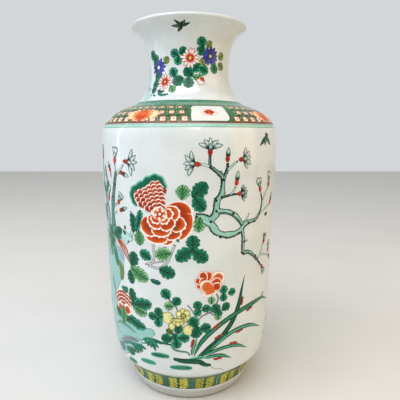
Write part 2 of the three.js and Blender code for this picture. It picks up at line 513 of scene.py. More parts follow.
def trace(points, steps):
    """Evenly spaced places on a smooth curve through points of (angle, along)."""
    if len(points) == 2:
        (a0, s0), (a1, s1) = points
        return [(a0 + (a1 - a0) * k / steps, s0 + (s1 - s0) * k / steps) for k in range(steps + 1)]
    scale = 1 / degrees_per_mm(points[len(points) // 2][1])
    flat = [(a * scale, s) for a, s in points]
    fine = []
    for k in range(len(flat) - 1):
        before, after = flat[max(k - 1, 0)], flat[min(k + 2, len(flat) - 1)]
        fine += curve_between(before, flat[k], flat[k + 1], after, TRACE_STEPS)
    fine.append(flat[-1])
    gone = running_length(fine)
    line = []
    for k in range(steps + 1):
        wanted = gone[-1] * k / steps
        place = min(max(bisect_right(gone, wanted) - 1, 0), len(fine) - 2)
        share = (wanted - gone[place]) / max(gone[place + 1] - gone[place], 1e-9)
        x, s = (p + (q - p) * share for p, q in zip(fine[place], fine[place + 1]))
        line.append((x / scale, s))
    return line


print("a line through three places:", len(trace([(0, 0), (5, 10), (0, 20)], 8)), "points")

# %% [markdown]
# The strip is a grid, laid on the wall with a slight dome as a bead of enamel has, and given a
# thickness that sinks into the glaze. Each point remembers how far it is from the stroke's edge,
# how far across and along the stroke it is, and a shade that the whole stroke shares. The
# finishes draw outlines, veins and white petal edges from those, so they follow every stroke.

# %% Lay a stroke
LIFT_MM = 0.06
LAYER_MM = 0.035
SUNK_MM = 0.22
FULL_DOME_WIDTH_MM = 5.0
TIP_MM = 0.12  # half the width that a stroke runs out to
CROWN_MM = 1.6  # how deep the white crescent on a scale's tip is
STROKE_STEP_MM = 2.2
MM_PER_DEGREE = 1.9  # on the body, near enough to count steps by
NOTES = ("across", "along", "reach", "rim", "shade")
wet_paint = {}
scratch = bpy.data.meshes.new("scratch")


def lay(group, pigment, left, right, layer=1, dome=0.12, across=4, rim="tip"):
    """Lays one stroke of enamel between two edges of (angle, along). Its rim, where a petal is
    left white, is at the tip, along an edge, all round, or a crescent that crowns the tip. A list
    says how much of the rim the left edge has already lost at each step."""
    pigment = side["swap"].get(pigment, pigment)
    steps = len(left) - 1
    widths = [math.dist(on_wall(*a, 0), on_wall(*b, 0)) / MM for a, b in zip(left, right)]
    middles = [on_wall((a[0] + b[0]) / 2, (a[1] + b[1]) / 2, 0) for a, b in zip(left, right)]
    gone = [length / MM for length in running_length(middles)]
    crown_mm = max(widths) / 2 + CROWN_MM
    bm = bmesh.new()
    notes = {name: bm.verts.layers.float.new(name) for name in NOTES}
    shade = random.random()
    bmesh.ops.create_grid(bm, x_segments=across, y_segments=steps, size=1)
    for v in bm.verts:
        c, step = v.co.x, round((v.co.y + 1) / 2 * steps)
        share, width = (c + 1) / 2, widths[step]
        aside, to_tip = width * (1 - abs(c)) / 2, gone[-1] - gone[step]
        reach = min(aside, gone[step], to_tip)
        rims = {
            "tip": min(aside, to_tip),
            "all": reach,
            "left": width * share,
            "right": width * (1 - share),
            "crown": crown_mm - math.hypot(c * width / 2, max(0.0, crown_mm - to_tip)),
        }
        from_rim = rims[rim] if isinstance(rim, str) else width * share + rim[step]
        for name, value in zip(NOTES, (c * width / 2, gone[step], reach, from_rim, shade)):
            v[notes[name]] = value
        (a0, s0), (a1, s1) = left[step], right[step]
        rise = dome * (1 - c * c) * min(1.0, width / FULL_DOME_WIDTH_MM)
        lift = LIFT_MM + layer * LAYER_MM + rise
        v.co = on_wall(a0 + (a1 - a0) * share, s0 + (s1 - s0) * share, lift)
    bm.normal_update()
    level = Vector((1, 1, 0))
    outwards = sum(f.normal.dot(f.calc_center_median() * level) * f.calc_area() for f in bm.faces)
    if outwards < 0:
        bmesh.ops.reverse_faces(bm, faces=bm.faces[:])
        bm.normal_update()
    bmesh.ops.solidify(bm, geom=bm.faces[:], thickness=(SUNK_MM + layer * LAYER_MM) * MM)
    bm.to_mesh(scratch)
    bm.free()
    if (group, pigment) not in wet_paint:
        wet_paint[group, pigment] = bmesh.new()
        for name in NOTES:
            wet_paint[group, pigment].verts.layers.float.new(name)
    wet_paint[group, pigment].from_mesh(scratch)


def stroke(group, pigment, points, width, steps=None, layer=1, dome=0.12, across=4, rim="tip"):
    """A brush stroke along points of (angle, along). width(share) is half its width in mm."""
    if steps is None:
        pairs = zip(points, points[1:])
        length = sum(math.hypot((q[0] - p[0]) * MM_PER_DEGREE, q[1] - p[1]) for p, q in pairs)
        steps = max(6, min(60, round(length / STROKE_STEP_MM)))
    line = trace(points, steps)
    left, right = [], []
    for k, (angle, along) in enumerate(line):
        (a0, s0), (a1, s1) = line[max(k - 1, 0)], line[min(k + 1, steps)]
        unit = degrees_per_mm(along)
        dx, dy = (a1 - a0) / unit, s1 - s0
        size = math.hypot(dx, dy) or 1.0
        half = max(TIP_MM, width(k / steps))
        x, y = -dy / size * half, dx / size * half
        left.append((angle + x * unit, along + y))
        right.append((angle - x * unit, along - y))
    lay(group, pigment, left, right, layer, dome, across, rim)


print("brush ready")

# %% [markdown]
# Overglaze enamels are coloured glasses: copper greens and turquoise, pale iron yellow, manganese
# aubergine and cobalt violet, laid over fine lines drawn in brown-black. Iron red is different,
# a thin dry wash, so it shines less, and the petals are left white at the edge. Each finish is
# one recipe: a glass colour that pools and thins, an ink or white edge of so many millimetres,
# veins where a leaf has them, and a deeper heart where the brush was first pressed down.

# %% The recipe of an enamel
ENAMELS = {}
DOTS_APART_MM = 2.2
VEIN_SLOPE = -1.35  # how steeply the side veins leave the middle one


def streaked(material, note, colour, tone, apart_mm):
    """Wavy streaks of another tone, so many mm apart along one of the stroke's own measures."""
    ripple = sum_up(material, "MULTIPLY", noise(material, 6, 1.0), 3.0)
    wave = sum_up(material, "MULTIPLY_ADD", note, math.tau / apart_mm, ripple)
    share = fade(material, sum_up(material, "SINE", wave), -0.35, 0.25)
    return blend(material, share, colour, tone)


def veined(material, note, colour, tone, apart_mm):
    """A middle vein, with side veins that slant up from it."""
    aside = sum_up(material, "ABSOLUTE", note["across"])
    sway = sum_up(material, "MULTIPLY_ADD", noise(material, 5, 1.0), 3.4, note["along"])
    slanted = sum_up(material, "MULTIPLY_ADD", aside, VEIN_SLOPE, sway)
    beat = sum_up(material, "FRACT", sum_up(material, "DIVIDE", slanted, apart_mm))
    away = sum_up(material, "ABSOLUTE", sum_up(material, "SUBTRACT", beat, 0.5))
    side_veins = sum_up(material, "MULTIPLY", fade(material, away, 0.04, 0.24), 0.9)
    colour = blend(material, side_veins, colour, tone)
    return blend(material, fade(material, aside, 0.25, 0.8), colour, tone)


def enamel(pigment, name, light, dark, roughness=0.14, line=None, edge=None, heart=None,
           vein=None, streak=None, hatch=None, dots=None, deep=None):
    """Mixes one overglaze enamel between two tones. Its marks are a colour and a length in mm on
    the wall, an edge has a width and a fade in mm, and dots have a colour only."""
    material, shader = new_material(name, Roughness=roughness, IOR=1.52, Specular_IOR_Level=0.22)
    note = {
        key: add_node(material, "ShaderNodeAttribute", attribute_name=key).outputs["Fac"]
        for key in NOTES
    }
    cloud = sum_up(material, "MULTIPLY", noise(material, 4, 3.0, 0.6), 0.9)
    pool = sum_up(material, "MULTIPLY_ADD", note["shade"], 0.6, cloud)
    colour = blend(material, fade(material, pool, 0.4, 1.1), dark, light)
    if streak:
        colour = streaked(material, note["across"], colour, *streak)
    if hatch:
        colour = streaked(material, note["along"], colour, *hatch)
    if deep:
        tone, reach = deep
        colour = blend(material, fade(material, note["rim"], reach * 0.3, reach), tone, colour)
    if heart:
        tone, reach = heart
        colour = blend(material, fade(material, note["along"], reach * 0.5, reach), colour, tone)
    if dots:
        share = scattered_spots(material, DOTS_APART_MM, 0.16, 0.32)
        colour = blend(material, share, colour, dots)
    if vein:
        colour = veined(material, note, colour, *vein)
    if edge:
        tone, width, soft = edge
        colour = blend(material, fade(material, note["rim"], width, width + soft), colour, tone)
    if line:
        tone, width = line
        share = fade(material, note["reach"], width * 0.6, width * 1.3)
        colour = blend(material, share, colour, tone)
    ENAMELS[pigment] = finished(material, shader, colour, noise(material, 3.5), 0.25, 0.25)


print("notes that an enamel reads:", ", ".join(NOTES))

# %% [markdown]
# Ink lines are from a quarter of a millimetre to one millimetre wide, and petals of iron red keep
# one or two millimetres of white at their rim.

# %% The palette
PETAL_WHITE = "#fdf3e2"
# greens of leaves and grass
enamel("leaf_green", "copper_green_enamel", "#3db389", "#0f7c56", line=("#003a24", 0.45),
       vein=("#002e1b", 4.8), deep=("#07644a", 4.0))
enamel("light_green", "pale_green_enamel", "#a6d89e", "#68ac6c", line=("#174a2c", 0.45),
       vein=("#174a2a", 4.8), deep=("#4c9158", 4.0))
enamel("olive", "olive_green_enamel", "#9aa95a", "#5f7a36", line=("#33481f", 0.4),
       vein=("#2c4216", 3.2))
enamel("teal", "teal_enamel", "#48b598", "#14765c", line=("#003a2c", 0.4), vein=("#003226", 4.8),
       deep=("#0a6048", 4.0))
enamel("cap_green", "ruffle_green_enamel", "#26936f", "#085c40", edge=("#7cc8ad", 0.3, 2.8),
       hatch=("#003d29", 2.2))
enamel("grass", "grass_green_enamel", "#62b490", "#1f7a56", line=("#002a1a", 0.5),
       streak=("#0f6244", 3.6))
enamel("grass_dark", "dark_grass_enamel", "#1f8460", "#054a33", line=("#001f14", 0.45),
       streak=("#004730", 4))
enamel("tuft_green", "tuft_green_enamel", "#2b9070", "#065c42", line=("#00301f", 0.35))
# turquoise wood and rock
enamel("turquoise", "turquoise_enamel", "#abd9ca", "#7ebaa7", line=("#060e0b", 1),
       edge=("#1d4237", 0.8, 2.3))
enamel("twig", "twig_turquoise_enamel", "#c8e3d9", "#a2cdbe", line=("#101c17", 0.45))
enamel("shadow_wood", "shaded_turquoise_enamel", "#86b9aa", "#4f8474", line=("#06120e", 0.9),
       edge=("#133c30", 0.8, 2.4))
enamel("bark_shade", "bark_shade_wash", "#6c8a80", "#4c625a", roughness=0.25)
enamel("rock", "turquoise_rock_enamel", "#bfe3da", "#93c6bb", line=("#2b4540", 0.6), dots="#7fb4a8")
enamel("rock_green", "rock_green_wash", "#4fa07c", "#1f6a4c", roughness=0.2,
       edge=("#7fb8a4", 0.2, 1.6))
enamel("rock_shade", "dark_turquoise_wash", "#6a9c90", "#457a6e", roughness=0.2,
       edge=("#8fc0b6", 0.2, 1.8))
enamel("pale_wash", "pale_turquoise_wash", "#cfe6e1", "#a5cdc4", roughness=0.16)
enamel("blue_wash", "blue_grey_wash", "#9db5bf", "#7d98a6", edge=("#b5cdd0", 0.6, 0.8))
enamel("wash", "green_wash_enamel", "#3c9778", "#0f5a41", edge=("#8ac9b1", 0.3, 1.6))
# stems, ink and insects
enamel("aubergine", "aubergine_enamel", "#aeaaae", "#858292", line=("#30282f", 0.4))
enamel("stem_grey", "grey_stem_enamel", "#d6d2d2", "#b5b0b6", line=("#3c363c", 0.45))
enamel("ink", "brown_black_ink", "#20221e", "#0c0e0c", roughness=0.3)
enamel("ink_green", "dark_green_line_enamel", "#1f5a44", "#123c2e")
enamel("hairline", "brown_glaze_hairline", "#8d6f55", "#6e5340", roughness=0.4)
enamel("insect", "insect_dark_enamel", "#48715b", "#22452f", line=("#0a100b", 0.5))
# iron red
enamel("iron_red", "iron_red_wash", "#c4320c", "#941b04", roughness=0.36, line=("#571609", 0.25))
enamel("iron_orange", "iron_orange_wash", "#e0662a", "#cb4a1a", roughness=0.34)
enamel("red_petal", "iron_red_petal", "#e05c0c", "#c94500", roughness=0.32,
       edge=(PETAL_WHITE, 2, 0.8), deep=("#a83000", 9))
enamel("blush_petal", "iron_red_blush_petal", "#e06c2a", "#cf5516", roughness=0.32,
       line=("#b04628", 0.3), edge=(PETAL_WHITE, 1.8, 2.6))
enamel("small_petal", "iron_red_small_petal", "#e2642a", "#cc4a12", roughness=0.32,
       line=("#a83a1c", 0.35), edge=(PETAL_WHITE, 1, 0.9), deep=("#b03404", 5))
enamel("scale_petal", "iron_red_scale", "#dc6844", "#c14d2a", roughness=0.32,
       edge=(PETAL_WHITE, 1.05, 0.5), deep=("#8a200a", 3.9))
enamel("scale_dark", "iron_red_heart", "#a5311b", "#7d1f12", roughness=0.34)
enamel("cream_petal", "iron_red_heart_petal", "#fbf0dc", "#f7e2c6", roughness=0.3,
       line=("#b54a2a", 0.3))
enamel("pale_petal", "iron_red_pale_petal", "#f6e9dc", "#f0d3bd", roughness=0.3,
       line=("#b5503a", 0.35), heart=("#dd6b38", 6))
enamel("ray_red", "iron_red_ray_petal", "#fcf5ef", "#f7e8dd", roughness=0.3, line=("#a92c0c", 0.75),
       heart=("#c43406", 7))
enamel("ray_cream", "iron_red_cream_petal", "#fae2b8", "#f3cc96", roughness=0.3,
       line=("#b8401c", 0.7), heart=("#d9561f", 13))
enamel("ray_orange", "iron_orange_petal", "#f0a562", "#e2752f", roughness=0.32,
       line=("#a8371a", 0.55), heart=("#c23d12", 10))
# violet, yellow and white
enamel("ray_blue", "cobalt_violet_enamel", "#4451a8", "#1b2470", line=("#0c1046", 0.4),
       heart=("#10145c", 5))
enamel("yellow", "pale_yellow_enamel", "#f0ecac", "#dbd582", line=("#4e4c16", 0.6),
       edge=("#b9b052", 0.5, 2))
enamel("white", "arsenic_white_enamel", "#f3f3ee", "#e6e9e2", line=("#8d9089", 0.4))
enamel("blossom", "magnolia_petal_wash", "#e4eeea", "#cbdfd8", line=("#0c1612", 0.75),
       heart=("#15261f", 11), streak=("#b2c7bf", 2.2))
enamel("blossom_front", "magnolia_front_petal", "#b9dcd3", "#93c4b7", line=("#0c1713", 0.55),
       heart=("#3c6154", 4))
enamel("bud_petal", "magnolia_bud_petal", "#cadfd7", "#a2c9bc", line=("#0c1713", 0.6),
       heart=("#1d352b", 7.5))
enamel("panel_white", "reserve_white_enamel", "#e6e6e1", "#dcdcd5", line=("#5c3b33", 0.45))
# the bands
enamel("band_green", "band_green_enamel", "#649c80", "#2f7355", line=("#234a3b", 0.7))
enamel("diaper_ground", "brocade_ground_enamel", "#4f8a58", "#215238", line=("#7b3a2a", 0.6))
enamel("diaper_square", "brocade_square_enamel", "#fae9d3", "#f3d7bd", line=("#6b2a1c", 0.3),
       edge=("#c4452c", 0.8, 0.6))
enamel("light_line", "pale_green_line_enamel", "#9cc48a", "#7fae74")
enamel("mint_band", "mint_band_enamel", "#b7decd", "#94cab4", line=("#2f6352", 0.5))
enamel("foot_ground", "foot_ground_enamel", "#6f9a84", "#44725e", line=("#2c3833", 0.9))
enamel("foot_yellow", "foot_yellow_enamel", "#d3cf50", "#a5a93a", line=("#1f3414", 0.5),
       dots="#6c7c28")
enamel("foot_green", "foot_green_line_enamel", "#3f8a62", "#2a6647")
print(len(ENAMELS), "enamels")

# %% [markdown]
# The motifs come from a small stock that the painters repeated all over such a vase: lobed
# leaves, leaves in threes, daisy-like chrysanthemums, peonies in rings of scalloped petals,
# magnolia cups in red calyces, knotted branches, and blades of orchid grass. Each is a function
# of a sheet of millimetres, and is painted as it is by hand: outer petals first, heart last.

# %% Petal shapes
def oval(t):
    """A half ellipse, round at both ends."""
    return math.sqrt(max(0.0, 1 - (2 * t - 1) ** 2))


def leaf_shape(t):
    """Pointed at both ends, widest below the middle."""
    return math.sin(math.pi * t**0.75) ** 0.8 if 0 < t < 1 else 0.0


def broad_leaf(t):
    """Broad all along, widest just above the middle."""
    return math.sin(math.pi * t**1.1) ** 0.55 if 0 < t < 1 else 0.0


def scale_shape(t):
    """A scale: nearly straight sides and a round tip."""
    return 0.8 + 0.4 * t if t < 0.5 else oval(t)


def long_petal(t):
    """Narrow at the base and round at the tip."""
    return math.sin(math.pi * t**1.25) ** 0.75 if 0 < t < 1 else 0.0


def pointed(t):
    """A short thorn or tuft, drawn out to a point."""
    return min(1.0, 2.1525 * t**0.7 * (1 - t) ** 0.75)


def petal_shape(t):
    """Narrow at the heart, broad and round at the tip."""
    return math.sin(math.pi * min(1.0, t**1.35)) ** 0.6 if 0 < t < 1 else 0.0


def blade_shape(t):
    """Even along its length, and drawn out to a point in its last third."""
    return min(1.0, (t * 6) ** 0.7, ((1 - t) * 3) ** 0.8)


print("widest place of a leaf:", max(range(1, 100), key=lambda k: leaf_shape(k / 100)), "%")

# %% [markdown]
# The smallest mark is a daub: the brush is pressed down and drawn up again. With lobes down its
# sides it is a leaf, and drawn as long as it is wide it is a bead.

# %% Daubs, dots and leaves
def daub(group, pigment, place, length, width, shape=oval, lobes=0, depth=0.16, bend=0.0,
         layer=1, steps=10, across=4, dome=0.12, rim="tip"):
    """A single leaf or petal from the sheet's origin upwards, with round lobes down each side."""
    shares = (0, 0.25, 0.5, 0.75, 1)
    points = [place(bend * length * math.sin(math.pi * t), length * t) for t in shares]

    def half(t):
        notch = depth * (1 - abs(math.sin(math.pi * lobes * t)) ** 0.7) if lobes else 0.0
        return width / 2 * shape(t) * (1 - notch)

    stroke(group, pigment, points, half, steps, layer, dome, across, rim)


def dot(group, pigment, place, radius, layer=3, stretch=1.0, dome=0.12):
    """A round bead of enamel, drawn out upwards where stretch is over 1."""
    high = radius * stretch
    steps = 6 if radius < 4 else 12
    daub(group, pigment, shifted(place, 0, -high), 2 * high, 2 * radius, layer=layer, steps=steps,
         dome=dome)


def leaf(group, pigment, base, tip, width, layer=2, lobes=4):
    """A veined leaf with a lobed edge, from one place of (angle, height) to another."""
    place, length = aim(base, tip)
    daub(group, pigment, place, length, 1.2 * width, broad_leaf, lobes, 0.24, 0.05, layer,
         6 * lobes, 6, 0.3)


def round_leaf(group, pigment, angle, height, radius, turn):
    """A small round scalloped leaf, given by its middle."""
    place = shifted(spot(angle, height, turn), 0, -radius)
    daub(group, pigment, place, 2.1 * radius, 2.05 * radius, broad_leaf, 3, 0.16, 0, 2, 18, 6, 0.25)

# %% [markdown]
# A peony's petals are crescents in rings about its heart. Each is scalloped and leaves its rim
# white. The flower seen from the side is a fan of scales, laid row by row like tiles.

# %% Peony petals and scales
def in_steps(values, share):
    """A value read off an evenly spaced list, straight between its entries."""
    place = min(int(share * (len(values) - 1)), len(values) - 2)
    return values[place] + (values[place + 1] - values[place]) * (share * (len(values) - 1) - place)


def crescent(group, pigment, place, start, end, radii, layer=2, scallop_mm=4.8, depth_mm=1.4,
             corner_mm=4.0):
    """A petal round a flower's heart. Its edge runs through radii from start to end degrees, in
    scallops between round corners, and the petal reaches in under those that are laid on it."""
    length = sum(radii) / len(radii) * math.radians(abs(end - start))
    inner = max(0.3, min(radii) - 12)
    scallops = max(1, round(length / scallop_mm))
    steps = 6 * scallops
    left, right, dips = [], [], []
    for k in range(steps + 1):
        t = k / steps
        way = math.radians(start + (end - start) * t)
        short = max(0.0, corner_mm - min(t, 1 - t) * length)
        cut = corner_mm - math.sqrt(corner_mm**2 - short**2)
        wave = abs(math.sin(scallops * t * math.pi)) ** 0.8
        dips.append(depth_mm * (1 - wave) if scallops > 1 else 0.0)
        edge = max(inner + 0.3, in_steps(radii, t) - cut - dips[-1])
        left.append(place(edge * math.cos(way), edge * math.sin(way)))
        right.append(place(inner * math.cos(way), inner * math.sin(way)))
    across = max(4, round((max(radii) - inner) / 2.5))
    lay(group, pigment, left, right, layer, 0.02, across, dips)


def scale_fan(group, place, outline, row_mm=4.1, wide_mm=7.0, layer=2):
    """Overlapping scales about a flower's heart, the outermost row first. The outline is a list
    of (degrees, mm) that the fan is cut to."""
    ways, fars = zip(*outline)
    long_mm = 1.15 * wide_mm
    far_row = max(fars)
    row = 0
    while far_row > 6:
        way = ways[0] + math.degrees(wide_mm / far_row) * (0.45 if row % 2 else 0.0)
        while way <= ways[-1]:
            k = min(bisect_right(ways, way), len(ways) - 1)
            share = (way - ways[k - 1]) / (ways[k] - ways[k - 1])
            edge = fars[k - 1] + (fars[k] - fars[k - 1]) * share
            if far_row < edge + 0.6 * row_mm:
                spoke = shifted(place, 0, 0, way - 90)
                wide = wide_mm * random.uniform(0.92, 1.08)
                daub(group, "scale_petal", shifted(spoke, 0, min(far_row, edge) - long_mm), long_mm,
                     wide, scale_shape, layer=layer + row, dome=0.02, rim="crown")
            way += math.degrees(0.9 * wide_mm / far_row)
        far_row -= row_mm
        row += 1


print("a half way between 2 and 4:", in_steps((2, 4), 0.5))

# %% [markdown]
# A chrysanthemum is a wheel of narrow petals. A magnolia is a fan of them in a red calyx, wide
# open, half open or still a bud.

# %% Chrysanthemums and magnolias
def daisy(group, pigment, place, radius, petals, heart="yellow", core=None):
    """A chrysanthemum seen from the front."""
    for k in range(petals):
        far = radius * random.uniform(0.86, 1.06)
        spoke = shifted(place, 0, 0, 360 * k / petals + random.uniform(-4, 4))
        daub(group, pigment, spoke, far, radius * 0.33, petal_shape, layer=4 + k % 2, steps=7)
    if core:
        dot(group, core, place, radius * 0.3, 6)
    dot(group, heart, place, radius * 0.2, 7)


def curved_petal(group, place, turn, length, width, layer):
    """A petal that leaves the cup upright and leans outwards."""
    x, y = length * math.sin(math.radians(turn)), length * math.cos(math.radians(turn))
    low = place(0.2 * x, 0.36 * y + 0.1 * length)
    high = place(0.56 * x, 0.68 * y + 0.08 * length)
    points = [place(0, 0), low, high, place(x, y)]
    stroke(group, "blossom", points, lambda t: width / 2 * long_petal(t), 12, layer)


def blossom(group, calyx, towards, turns, size, length=15.5):
    """A magnolia: petals fanned from a red calyx, dark where they meet, and a pale one in front."""
    place = shifted(aim(calyx, towards)[0], 0, 0, 0, size)
    for k, turn in enumerate(turns):
        far = length * random.uniform(0.93, 1.06)
        curved_petal(group, shifted(place, 0, 1.2), turn, far, 5.0, 4 + k % 2)
    daub(group, "blossom_front", shifted(place, 0, 2.2), 0.55 * length, 4.3, leaf_shape, layer=7,
         steps=9)
    daub(group, "iron_red", shifted(place, 0, -3.2), 7.2, 5.4, petal_shape, layer=8, steps=8)


def magnolia(group, calyx, towards, size=1.0):
    """A magnolia wide open."""
    blossom(group, calyx, towards, (-60, 58, -33, 31, -5), size)


def cup(group, calyx, towards, size=1.0, petals=4):
    """A magnolia half open, seen from the side."""
    turns = [44 * (k / (petals - 1) - 0.5) for k in range(petals)]
    blossom(group, calyx, towards, turns, size, 13.5)


def bud(group, calyx, towards, size=1.0):
    """A closed magnolia bud in its calyx."""
    place = shifted(aim(calyx, towards)[0], 0, 0, 0, size)
    daub(group, "bud_petal", shifted(place, 0, 1.2), 11.5, 5.6, leaf_shape, layer=4, steps=9)
    daub(group, "iron_red", shifted(place, 0, -2.8), 6.8, 5.0, oval, layer=5, steps=8)

# %% [markdown]
# Wood is one long stroke that narrows. It bulges at its knots, is darker along one side, and is
# flecked with ink where the bark is rough. Stems, blades of grass and broad washes are plainer
# strokes.

# %% Branches, stems and blades
THICK_WOOD_MM = 2.7  # from here up the wood is turquoise, and below it is a pale twig
ROUGH_WOOD_MM = 3.8  # from here up the bark is flecked along its edge


def branch(group, points, start_mm, end_mm, pigment=None, layer=2, knots=(), thorns=(),
           shaded="right"):
    """A knotted branch that narrows, darker along one side, with thorns at given shares."""
    pigment = pigment or ("turquoise" if start_mm > THICK_WOOD_MM else "twig")

    def half(t):
        bulge = sum(0.22 * math.exp(-(((t - k) / 0.05) ** 2)) for k in knots)
        sway = 0.05 * math.sin(23 * t + len(points))
        return (0.5 + start_mm + (end_mm - start_mm) * t) / 2 * (1 + bulge + sway)

    stroke(group, pigment, up_wall(points), half, layer=layer, dome=0.2, rim=shaded)
    line = trace(up_wall(points), 100)
    for percent in range(4, 98, 5) if start_mm > ROUGH_WOOD_MM else ():
        edge = half(percent / 100) * random.choice((0.9, 1.05, -0.95))
        edge = edge if shaded == "right" else -edge
        (a0, s0), (a1, s1) = line[percent - 1], line[percent + 1]
        way = math.atan2(s1 - s0, (a1 - a0) / degrees_per_mm(s0))
        angle, along = line[percent]
        angle += edge * math.sin(way) * degrees_per_mm(along)
        height = wall_at(along - edge * math.cos(way))[1]
        dot(group, "ink", spot(angle, height), 0.75, layer + 1)
    for share in thorns:
        angle, along = line[round(share * 100)]
        root = spot(angle, wall_at(along)[1], 40 if share < 0.5 else -50)
        daub(group, "ink", root, 3.6, 1.1, pointed, layer=layer, steps=5, across=2)


def eyes(group, places, radius=1.5):
    """Black eyes of the knots."""
    for angle, height in places:
        dot(group, "ink", spot(angle, height, 25), radius, 9, 1.15)


def stem(group, points, start_mm, end_mm, pigment="aubergine", layer=1):
    """A thin stem without knots."""
    stroke(group, pigment, up_wall(points), lambda t: (start_mm + (end_mm - start_mm) * t) / 2,
           layer=layer, across=2, dome=0.1)


def patch(group, pigment, left, right, steps, layer=1, across=14):
    """A broad wash between two painted edges."""
    edges = [trace(up_wall(edge), steps) for edge in (left, right)]
    lay(group, pigment, *edges, layer, 0.02, across)


def blade(group, points, width, pigment="grass", layer=3):
    """A blade of orchid grass, broad near the root and drawn out to a point."""
    stroke(group, pigment, up_wall(points), lambda t: width / 2 * blade_shape(t), layer=layer)


print("wood is turquoise from", THICK_WOOD_MM, "mm")

# %% [markdown]
# The smallest motifs are the red florets of the grass, and a bee and a fly, each with a dark
# body and a few strokes for its wings.

# %% Florets and insects
def red_dabs(group, angle, height, turn):
    """A row of small red dabs beside a blade, the grass's florets."""
    place = spot(angle, height, turn)
    for k in range(4):
        dab = shifted(place, 0.5 * (k % 2), 7.5 * (k / 3 - 0.5) - 1.7)
        daub(group, "iron_red", dab, 3.6, 3.6 - 0.5 * abs(k - 1.5), layer=7 + k % 2, steps=5,
             across=2)


def insect(group, angle, height, turn, size, wide, wings):
    """A small dark insect: a body and narrow wings, given by their turns and lengths."""
    place = spot(angle, height, turn, size)
    daub(group, "ink", shifted(place, 0, -3.2), 7.4, 3.2, layer=5, steps=6)
    for way, length in wings:
        daub(group, "insect", shifted(place, 0, 0, way), length, wide, leaf_shape, layer=4,
             steps=7, across=2)

# %% [markdown]
# Round bands are painted on a slow wheel with a loaded brush held still, so they are rings spun
# from a sliver of the wall's own section.

# %% Bands
RING_STEP_MM = 2


def ring(name, enamel_name, low, high, lift=0.05):
    """A painted band round the wall between two heights in mm."""
    start, end = along_at(low), along_at(high)
    count = max(2, math.ceil((end - start) / RING_STEP_MM))
    places = [start + (end - start) * k / count for k in range(count + 1)]
    outside = [(along, lift) for along in places]
    inside = [(along, lift - SUNK_MM) for along in reversed(places)]
    section = []
    for along, height_over in outside + inside:
        radius, height, out, up = wall_at(along)
        section.append((radius + height_over * out, height + height_over * up))
    mesh = spun_mesh(name, section)
    values = {key: [] for key in NOTES}
    for v in mesh.vertices:
        along = along_at(v.co.z / MM)
        reach = max(0.0, min(along - start, end - along))
        round_mm = math.atan2(v.co.x, -v.co.y) * 100
        for key, value in zip(NOTES, (along - (start + end) / 2, round_mm, reach, reach, 0.5)):
            values[key].append(value)
    for key, numbers in values.items():
        mesh.attributes.new(key, "FLOAT", "POINT").data.foreach_set("value", numbers)
    add_piece(name, mesh, "overglaze_enamel", ENAMELS[enamel_name])


ring("shoulder_green_band", "band_green", 360.8, 367.6)
ring("shoulder_brocade_ground", "diaper_ground", 341.4, 361.2)
ring("shoulder_red_line", "iron_red", 340.7, 341.4)
ring("shoulder_mint_band", "mint_band", 336.4, 340.1, 0.07)
ring("foot_band_ground", "foot_ground", 17.0, 40.0)
print("five rings round the vase")

# %% [markdown]
# On the shoulder a green ground carries rows of little framed squares, a brocade pattern. They
# are strokes too, set round the ring by count, and leave room for the white reserves.

# %% Brocade
COLUMNS = 56
BROCADE_ROWS = (  # height, sideways shift in degrees, half the width, half the height
    (345.3, 2, 3.9, 3.7), (352.4, 0, 3.5, 3.4), (358.2, -1.8, 3.1, 2.9),
)
BROCADE_KNOTS = ((348.6, 4.3), (355.2, 2.3))  # height, sideways shift in degrees
BROCADE_LINE = ((342.3, 2.6), (351, 0.3), (360.4, -2.2))  # height, sideways shift in degrees
RESERVE_ANGLES = (16, 106, 196, 286)
RESERVE_REACH = (-16.0, 13.6)  # degrees that the squares leave free for a reserve


def box_patch(group, pigment, place, half_width, half_height, layer, lean, steps, across):
    """A small four-sided patch, its top moved sideways by lean mm."""
    left, right = [], []
    for k in range(steps + 1):
        up = half_height * (2 * k / steps - 1)
        shift = lean * k / steps
        left.append(place(-half_width + shift, up))
        right.append(place(half_width + shift, up))
    lay(group, pigment, left, right, layer, 0.05, across, "all")


def clear_of_reserves(angle):
    """Whether a square at an angle stays clear of the white reserves."""
    ways = [(angle - middle + 180) % 360 - 180 for middle in RESERVE_ANGLES]
    return not any(RESERVE_REACH[0] < way < RESERVE_REACH[1] for way in ways)


def paint_brocade():
    """Rows of framed squares with a dot in each, parted by light lines and dark crosses."""
    for number in range(COLUMNS):
        column = number * 360 / COLUMNS - 3
        between = column + 180 / COLUMNS
        if clear_of_reserves(between):
            line = [spot(between + shift, height)(0, 0) for height, shift in BROCADE_LINE]
            stroke("shoulder", "light_line", line, lambda t: 0.55, 6, 1, 0.03, 2)
        for row, (height, shift, half_width, half_height) in enumerate(BROCADE_ROWS):
            if clear_of_reserves(column + shift):
                place = spot(column + shift, height)
                box_patch("shoulder", "diaper_square", place, half_width, half_height, 1, -0.8, 6, 6)
                dot("shoulder", "olive" if (number + row) % 3 else "iron_red", place, 0.9, 2, 1.2)
        for height, shift in BROCADE_KNOTS:
            for turn in (40, -40) if clear_of_reserves(column + shift) else ():
                arm = shifted(spot(column + shift, height, turn), 0, -2.8)
                daub("shoulder", "ink_green", arm, 5.6, 2.1, layer=2, steps=6, across=2)


paint_brocade()
print(COLUMNS, "columns of squares")

# %% [markdown]
# The brocade is broken by four chrysanthemums and by four white reserves, each with a plum
# blossom on it.

# %% Shoulder flowers and reserves
FLOWER_ANGLES = (-29, 61, 151, 241)


